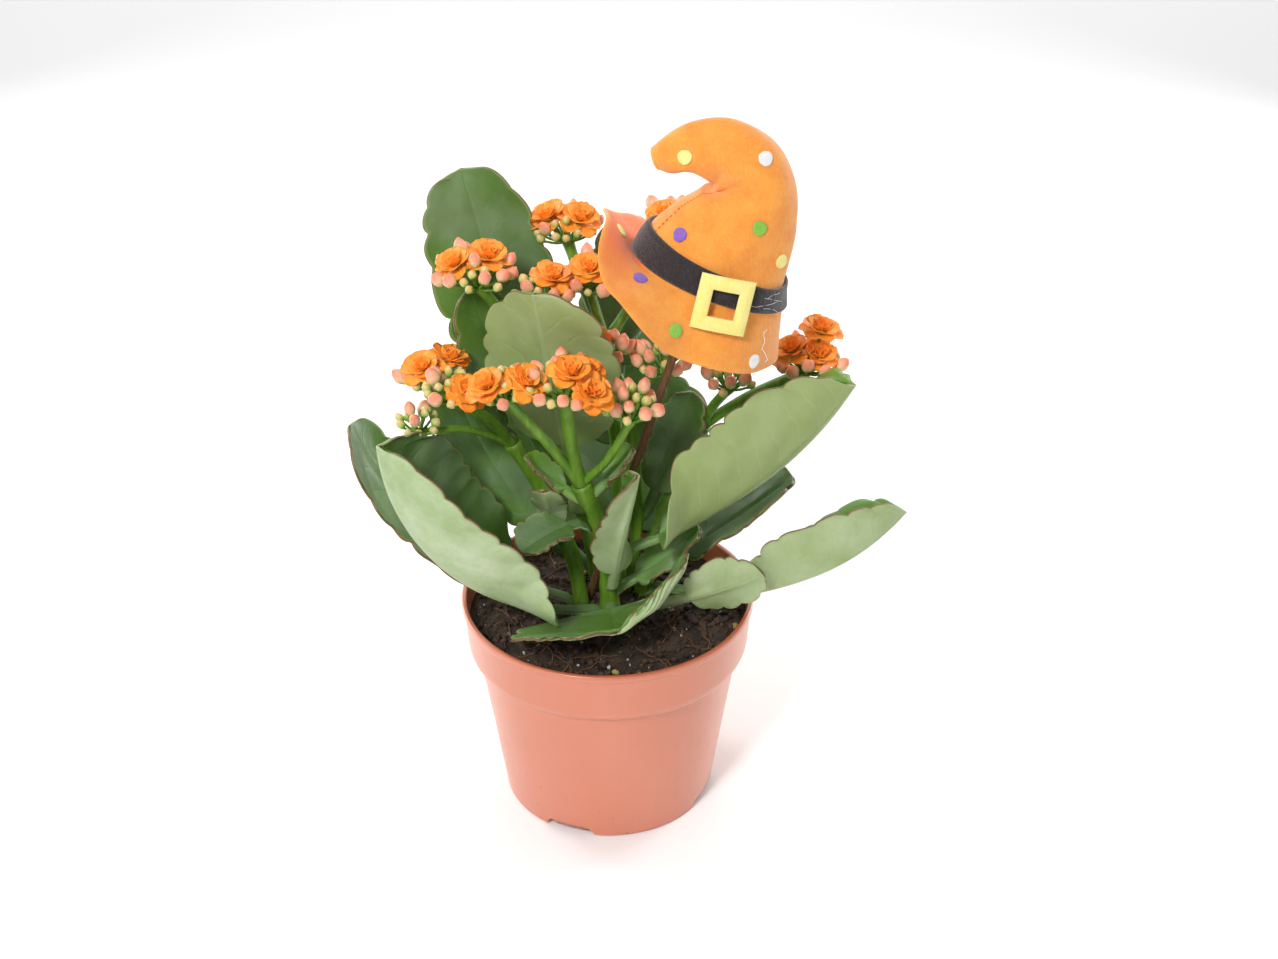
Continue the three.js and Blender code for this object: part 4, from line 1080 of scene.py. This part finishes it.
def hat_ring(k):
    """Centre, sideways, tangent and half width of the cone at step k of its spine."""
    low = min(LAST - 1, int(k))
    t = k - low
    p0, p1 = HAT_SPINE[max(0, low - 1)], HAT_SPINE[low]
    p2, p3 = HAT_SPINE[low + 1], HAT_SPINE[min(LAST, low + 2)]
    square = 2 * p0 - 5 * p1 + 4 * p2 - p3
    cube = 3 * p1 - p0 - 3 * p2 + p3
    at = 0.5 * (2 * p1 + (p2 - p0) * t + square * t**2 + cube * t**3)
    ends = []
    for i in (low, low + 1):
        d = HAT_SPINE[min(LAST, i + 1)] - HAT_SPINE[max(0, i - 1)]
        tilt = math.radians(HAT_TILT)
        ends.append(vec(math.sin(tilt), 0, math.cos(tilt)) if i == 0 else unit(vec(d[0], 0, d[1])))
    tangent = unit(ends[0] * (1 - t) + ends[1] * t)
    return vec(at[0], 0, at[1]) + HAT_AT, vec(tangent[2], 0, -tangent[0]), tangent, at[2]


def hat_point(k, angle, h):
    """A point of the cone: step k, angle from the right side through the back, h off its outer face."""
    centre, side, _, half = hat_ring(k)
    sag = 0.5 * np.sin(3 * angle + 1.1 * k) * smooth(0.5, 3, k) + 0.35 * np.sin(5 * angle - 1.9 * k + 1)
    crease = -1.5 * np.exp(-((k - 4.6) / 0.35) ** 2) - 1.1 * np.exp(-((k - 5.7) / 0.3) ** 2)
    inside_bend = smooth(-0.3, 0.9, np.cos(angle - np.pi))
    soft = smooth(0, 0.6, k) * smooth(LAST, LAST - 1, k) * (sag + crease * inside_bend)
    a, b = half + h + soft, half * HAT_FLATNESS + h + soft
    across = (a * np.cos(angle))[..., None] if np.ndim(angle) else a * np.cos(angle)
    deep = np.sin(angle) * b
    return centre + across * side + np.multiply.outer(deep, vec(0, 1, 0))


def hat_normal(k, angle):
    around = hat_point(k, angle + 0.05, 0) - hat_point(k, angle - 0.05, 0)
    up = hat_point(k + 0.1, angle, 0) - hat_point(max(0, k - 0.1), angle, 0)
    return unit(np.cross(around, up))


def hat_cone_mesh():
    angle = np.linspace(0, 2 * np.pi, 96, endpoint=False)
    ks = np.linspace(0, LAST, 82)
    inner = [hat_point(k, angle, -FELT) for k in ks if k <= LAST - 2][::-1]
    foot = [hat_point(0, angle, h) for h in (-FELT + 0.2, -0.2)]
    foot = [ring - hat_ring(0)[2] * 0.25 for ring in foot]
    outer = [hat_point(k, angle, 0) for k in ks]
    centre, side, tangent, half = hat_ring(LAST)
    for t in (0.3, 0.6, 0.85):
        r = half * math.sqrt(1 - t * t)
        tip = centre + tangent * (1.6 * t)
        across = np.multiply.outer(r * np.cos(angle), side)
        deep = np.multiply.outer(r * 0.8 * np.sin(angle), vec(0, 1, 0))
        outer.append(tip + across + deep)
    mesh = Mesh()
    mesh.loops(np.array(inner + foot + outer))
    return mesh


def round_brim(values, angle):
    n = len(values)
    t = (angle / (2 * np.pi)) % 1 * n
    i = np.floor(t).astype(int)
    s = smooth(0, 1, t - i)
    values = np.array(values, float)
    return values[i % n] * (1 - s) + values[(i + 1) % n] * s


def brim_point(angle, u, h):
    """A point of the brim: share u of its width out from the crease, h off its upper face."""
    _, side, tangent, _ = hat_ring(0)
    angle = np.asarray(angle, float)
    flare = np.radians(round_brim(BRIM_FLARE, angle))
    width = BRIM_WIDTH * round_brim(BRIM_REACH, angle)
    ripple = u * u * (0.9 * np.sin(4 * angle + 0.5) + 0.6 * np.sin(7 * angle + 2))
    out = np.multiply.outer(np.cos(angle), side) + np.multiply.outer(np.sin(angle), vec(0, 1, 0))
    along = out * np.sin(flare)[..., None] - tangent * np.cos(flare)[..., None]
    face = out * np.cos(flare)[..., None] + tangent * np.sin(flare)[..., None]
    crease = hat_point(0, angle, 0) - tangent * GAP
    return crease + along * (u * width)[..., None] + face * (h + ripple)[..., None]


def wrapped(mesh, rings, **values):
    """A closed ring: rows and points both wrap round."""
    rows, n = rings.shape[:2]
    faces = []
    for r in range(rows):
        a, b = r * n, (r + 1) % rows * n
        faces += [[a + i, b + i, b + (i + 1) % n, a + (i + 1) % n] for i in range(n)]
    spread = {k: np.broadcast_to(v, (rows, n)).reshape(-1) for k, v in values.items()}
    mesh.add(rings.reshape(-1, 3), faces, **spread)


def brim_mesh():
    angle = np.linspace(0, 2 * np.pi, 144, endpoint=False)
    upper = [(u, 0.0) for u in np.linspace(0.03, 0.97, 14)]
    lip = [(0.99, -0.25), (1.0, -0.7), (0.99, -FELT + 0.25)]
    lower = [(u, -FELT) for u in np.linspace(0.97, 0.03, 14)]
    tucked = ((0.0, -FELT), (0.14, -0.5), (0.20, 0.15), (0.10, 0.4), (0.02, 0.35))
    rings = [hat_point(k, angle, h) for k, h in tucked]
    rings += [brim_point(angle, u, h) for u, h in upper + lip + lower]
    # `deep`: painted shade on the brim's upper face where it turns up at the back left
    back_left = smooth(0.35, 0.9, np.cos(angle - math.radians(160)))
    faded = [smooth(1.0, 0.8, u) for u, _ in upper]
    top_side = np.array([1.0] * len(tucked) + faded + [0.0] * (len(lip) + len(lower)))
    mesh = Mesh()
    wrapped(mesh, np.array(rings), deep=0.85 * top_side[:, None] * back_left)
    return mesh


def band_mesh():
    angle = np.linspace(0, 2 * np.pi, 120, endpoint=False)
    low, high = 0.17, 0.17 + BAND_HEIGHT / 10.5
    near, far = 2 * GAP - 0.3, 2 * GAP + 0.8 * FELT
    section = [(k, far) for k in np.linspace(low, high, 8)] + [(high + 0.02, (near + far) / 2)]
    section += [(k, near) for k in np.linspace(high, low, 8)] + [(low - 0.02, (near + far) / 2)]
    mesh = Mesh()
    wrapped(mesh, np.array([hat_point(k, angle, h) for k, h in section])[::-1])
    return mesh


def turn_matrix(axis, angle):
    c, s = math.cos(angle), math.sin(angle)
    if axis == "x":
        return np.array([(1, 0, 0), (0, c, -s), (0, s, c)])
    return np.array([(c, -s, 0), (s, c, 0), (0, 0, 1)])


def buckle_mesh():
    """A square felt frame, softly bent to the band."""
    q = []
    for corner, after in (((1, -1), (1, 1)), ((1, 1), (-1, 1)), ((-1, 1), (-1, -1)), ((-1, -1), (1, -1))):
        q += [np.array(corner) + (np.array(after) - np.array(corner)) * i / 12 for i in range(12)]
    q = np.array(q, float)
    inner, outer, thick = BUCKLE_WINDOW / 2, BUCKLE_SIZE / 2, FELT / 2
    section = [
        (inner, -0.6), (inner + 0.25, -1), (outer - 0.3, -1), (outer, -0.6), (outer, 0.6),
        (outer - 0.3, 1), ((inner + outer) / 2, 1.12), (inner + 0.25, 1), (inner, 0.6),
    ]
    rings = np.array([np.column_stack([q * size, np.full(len(q), h * thick)]) for size, h in section])
    rings[..., 2] -= 0.010 * rings[..., 0] ** 2
    angle = math.radians(-83)
    facing = hat_normal(0.5, angle)
    lean = turn_matrix("x", math.pi / 2 - math.asin(facing[2]))
    turn = turn_matrix("z", math.atan2(facing[0], -facing[1])) @ lean
    turn = turn @ turn_matrix("z", math.radians(-HAT_TILT + 6))
    mesh = Mesh()
    wrapped(mesh, rings @ turn.T + hat_point(0.35, angle, 2 * GAP + FELT + 2.6))
    return mesh


# Each dot: its colour, its step up the cone or its share across the brim, and its angle round the hat.
DOTS = {
    "dot_yellow_tip": ("yellow", 7.3, -92),
    "dot_white_top": ("white", 4.9, -50),
    "dot_green_middle": ("green", 2.75, -76),
    "dot_purple_middle": ("purple", 1.5, -138),
    "dot_yellow_side": ("yellow", 2.0, -36),
}
BRIM_DOTS = {
    "dot_yellow_brim": ("yellow", 0.5, 176),
    "dot_purple_brim": ("purple", 0.3, -138),
    "dot_green_brim": ("green", 0.62, -104),
    "dot_white_brim": ("white", 0.78, -47),
}


def dot_mesh(name, at, face):
    """A punched felt disc."""
    rng = random.Random(name)
    angle = np.linspace(0, 2 * np.pi, 28, endpoint=False)
    wobble = 1 + 0.03 * np.sin(3 * angle + rng.uniform(0, 6)) + 0.02 * np.sin(7 * angle + rng.uniform(0, 6))
    section = (
        (0.3, 0.0), (0.7, -0.02), (0.95, 0.0), (1.0, 0.25),
        (1.0, 0.5), (0.94, 0.68), (0.7, 0.75), (0.3, 0.78),
    )
    axes = frame_on(face, rng.uniform(0, 6))
    rings = []
    for r, h in section:
        x, y = DOT_RADIUS * r * wobble * np.cos(angle), DOT_RADIUS * r * wobble * np.sin(angle)
        rings.append(at + np.outer(x, axes[0]) + np.outer(y, axes[1]) + (h - 0.5) * axes[2])
    mesh = Mesh()
    mesh.loops(np.array(rings))
    return mesh


def stick_mesh():
    down = unit(STICK_FOOT - STICK_HEAD)
    foot = STICK_FOOT + down * STICK_DEPTH
    t = np.linspace(0, 1, 60)
    points = foot + np.outer(t, STICK_HEAD - foot)
    points[:, 1] += 0.25 * np.sin(5 * t)
    radii = STICK_RADIUS * (1 + 0.05 * np.sin(23 * t) + 0.03 * np.sin(61 * t))
    radii[[0, -1]] *= 0.8
    mesh = Mesh()
    mesh.loops(tube(points, radii, 16))
    return mesh


def seam_mesh():
    """Stitches beside the cone's seam."""
    mesh = Mesh()
    ks = np.linspace(0.95, 4.3, 150)
    angle = math.radians(196)
    path = np.array([hat_point(k, angle + 0.10 * (k - 0.95) / 3.4, 0.12) for k in ks])
    for i in range(0, len(ks) - 5, 6):
        mesh.loops(tube(path[i : i + 5], [0.08, 0.26, 0.3, 0.26, 0.08], 6))
    return mesh


def glue_threads():
    """Fine dried strands of glue on the band beside the buckle and on the brim."""
    mesh = Mesh()
    rng = random.Random("glue")
    for _ in range(4):
        k, angle = rng.uniform(0.3, 0.9), math.radians(rng.uniform(-62, -38))
        dk, da = rng.uniform(-0.09, 0.09), rng.uniform(0.03, 0.07)
        points = []
        for i in range(9):
            points.append(hat_point(min(1.1, max(0.2, k)), angle, 1.9 + 0.3 * math.sin(1.3 * i + k)))
            k, angle, dk = k + dk, angle + da, dk + rng.uniform(-0.05, 0.05)
        mesh.loops(tube(points, rng.uniform(0.06, 0.11), 5))
    u, angle = 0.25, math.radians(-38)
    points = []
    for i in range(12):
        points.append(brim_point(angle, u, 0.3 + 0.15 * math.sin(2.1 * i)))
        u, angle = u + 0.055, angle + rng.uniform(-0.07, 0.06)
    mesh.loops(tube(np.array(points), 0.15, 5))
    return mesh


# ---- making the object ----
LEAF = leaf_material()
STEM = stem_material()
PETAL = petal_material()
BUD = bud_material()
SEPAL = sepal_material()
FELT_ORANGES = ((0.90, 0.345, 0.045), (0.98, 0.56, 0.17), (0.84, 0.255, 0.020))
ORANGE = felt_material("felt_orange", *FELT_ORANGES)
# the brim's last colour is painted shade for its upturned back left
BRIM_ORANGE = felt_material("felt_orange_brim", *FELT_ORANGES, (0.86, 0.130, 0.010))
FELTS = {
    "yellow": felt_material("felt_yellow", (0.92, 0.82, 0.27), (0.98, 0.95, 0.55), (0.88, 0.74, 0.18)),
    "white": felt_material("felt_white", (0.88, 0.87, 0.85), (0.97, 0.97, 0.97), (0.76, 0.75, 0.74)),
    "green": felt_material("felt_green", (0.26, 0.56, 0.06), (0.50, 0.76, 0.22), (0.19, 0.46, 0.03)),
    "purple": felt_material("felt_purple", (0.26, 0.115, 0.52), (0.46, 0.32, 0.74), (0.19, 0.075, 0.42)),
}
BLACK = felt_material("felt_black", (0.022, 0.014, 0.016), (0.085, 0.055, 0.055), (0.010, 0.007, 0.009))

pot = piece("nursery_pot", pot_mesh(), pot_material(), ["pot"])
cutter = drain_cutter()
holes = pot.modifiers.new("holes", "BOOLEAN")
holes.operation = "DIFFERENCE"
holes.object = cutter
baked(pot)
bpy.data.objects.remove(cutter)

earth = soil_material("soil", (0.014, 0.007, 0.004), (0.062, 0.036, 0.021))
piece("potting_soil", soil_mesh(), earth, ["soil"])
crumbs = soil_material("crumbs", (0.020, 0.010, 0.005), (0.100, 0.058, 0.034))
piece("soil_crumbs", scattered(1300, 0.45, 1.7, "crumbs"), crumbs, ["soil"])
perlite = soil_material("perlite", (0.52, 0.48, 0.42), (0.42, 0.40, 0.37))
piece("soil_perlite", scattered(80, 0.25, 1.1, "perlite"), perlite, ["soil"])
grains = soil_material("grains", (0.46, 0.33, 0.10), (0.30, 0.20, 0.06))
piece("soil_grains", scattered(14, 0.9, 1.7, "grains", 0.8), grains, ["soil"])
roots = soil_material("rootlets", (0.10, 0.038, 0.016), (0.20, 0.10, 0.05))
piece("soil_rootlets", rootlets(46), roots, ["soil"])

for stem_name in STEMS:
    piece(stem_name + "_tissue", stem_mesh(stem_name), STEM, [stem_name])
for leaf_name, (stem, height, turn, rise, length, width, own) in LEAVES.items():
    place = dict(name=leaf_name, stem=stem, height=height, turn=turn, rise=rise)
    leaf = {**RELAXED, **place, "length": length, "width": width, **own}
    made = leaf_mesh(leaf)
    settle(made, "leaf_" + leaf_name)
    piece("leaf_" + leaf_name + "_blade", made, LEAF, ["leaf_" + leaf_name])
for head_name in HEADS:
    petals, buds, green = head_pieces(head_name)
    if petals.count:
        piece(head_name + "_petals", petals, PETAL, [head_name])
    piece(head_name + "_buds", buds, BUD, [head_name])
    piece(head_name + "_stalks", green, SEPAL, [head_name])

piece("hat_cone_felt", hat_cone_mesh(), ORANGE, ["hat_cone"])
piece("hat_brim_felt", brim_mesh(), BRIM_ORANGE, ["hat_brim"])
piece("hat_band_felt", band_mesh(), BLACK, ["hat_band"])
piece("hat_buckle_felt", buckle_mesh(), FELTS["yellow"], ["hat_buckle"])
stitches = thread_material("stitches", (0.80, 0.21, 0.02), 0.8)
piece("hat_seam_stitches", seam_mesh(), stitches, ["hat_cone"])
glue = thread_material("glue", (0.90, 0.88, 0.86), 0.35)
piece("hat_glue_threads", glue_threads(), glue, ["hat_brim"])
piece("hat_stick_wood", stick_mesh(), wood_material(), ["hat_stick"])
for dot, (colour, k, degrees) in DOTS.items():
    face = hat_normal(k, math.radians(degrees))
    at = hat_point(k, math.radians(degrees), 0) + face * 0.5
    piece(dot + "_felt", dot_mesh(dot, at, face), FELTS[colour], [dot])
for dot, (colour, u, degrees) in BRIM_DOTS.items():
    angle = math.radians(degrees)
    around = brim_point(angle + 0.1, u, 0) - brim_point(angle - 0.1, u, 0)
    face = unit(np.cross(brim_point(angle, u + 0.1, 0) - brim_point(angle, u - 0.1, 0), around))
    disc = dot_mesh(dot, brim_point(angle, u, 0) + face * 0.5, face)
    piece(dot + "_felt", disc, FELTS[colour], [dot])

# ---- stage ----
FLOOR_REACH = 6
FLOOR_CORNERS = [(x * FLOOR_REACH, y * FLOOR_REACH, 0) for x, y in ((-1, -1), (1, -1), (1, 1), (-1, 1))]
SKY = 0.42
CAMERA_AT = (0.0129, -0.7286, 0.5848)
CAMERA_PITCH = 59
# Each lamp: its place, what it points at, its width, its power and its height.
LAMPS = {
    "key": ((-0.42, -0.95, 1.10), (0, 0, 0.14), 0.26, 13.5, 0.26),
    "left_strip": ((-0.62, 0.50, 0.34), (0, 0, 0.07), 0.34, 4.5, 0.8),
    "right_strip": ((0.62, 0.50, 0.34), (0, 0, 0.07), 0.34, 4.5, 0.8),
    "top": ((0.1, 0.15, 1.5), (0, 0, 0.1), 0.9, 3.5, 0.9),
    "backdrop": ((0.0, 2.6, 1.3), (0, 2.6, 0), 1.6, 34, 1.6),
}

scene = bpy.context.scene
floor_data = bpy.data.meshes.new("floor")
floor_data.from_pydata(FLOOR_CORNERS, [], [(0, 1, 2, 3)])
floor = bpy.data.objects.new("floor", floor_data)
floor.location.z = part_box("pot")[0][2] - 0.0002
scene.collection.objects.link(floor)
floor_data.materials.append(floor_material())

world = bpy.data.worlds.new("studio")
scene.world = world
world.use_nodes = True
world.node_tree.nodes["Background"].inputs[0].default_value = (1, 1, 1, 1)
world.node_tree.nodes["Background"].inputs[1].default_value = SKY

for lamp_name, (at, aim_at, width, power, height) in LAMPS.items():
    light = bpy.data.lights.new(lamp_name, "AREA")
    light.energy = power
    light.shape = "RECTANGLE"
    light.size = width
    light.size_y = height
    lamp = bpy.data.objects.new(lamp_name, light)
    lamp.location = at
    way = vec(*aim_at) - vec(*at)
    lamp.rotation_euler = (math.atan2(math.hypot(way[0], way[1]), -way[2]), 0, math.atan2(-way[0], way[1]))
    scene.collection.objects.link(lamp)

camera = bpy.data.objects.new("camera", bpy.data.cameras.new("camera"))
camera.data.lens = 60
camera.data.sensor_width = 36
camera.location = CAMERA_AT
camera.rotation_euler = (math.radians(CAMERA_PITCH), 0, 0)
scene.collection.objects.link(camera)
scene.camera = camera
scene.view_settings.view_transform = "Standard"
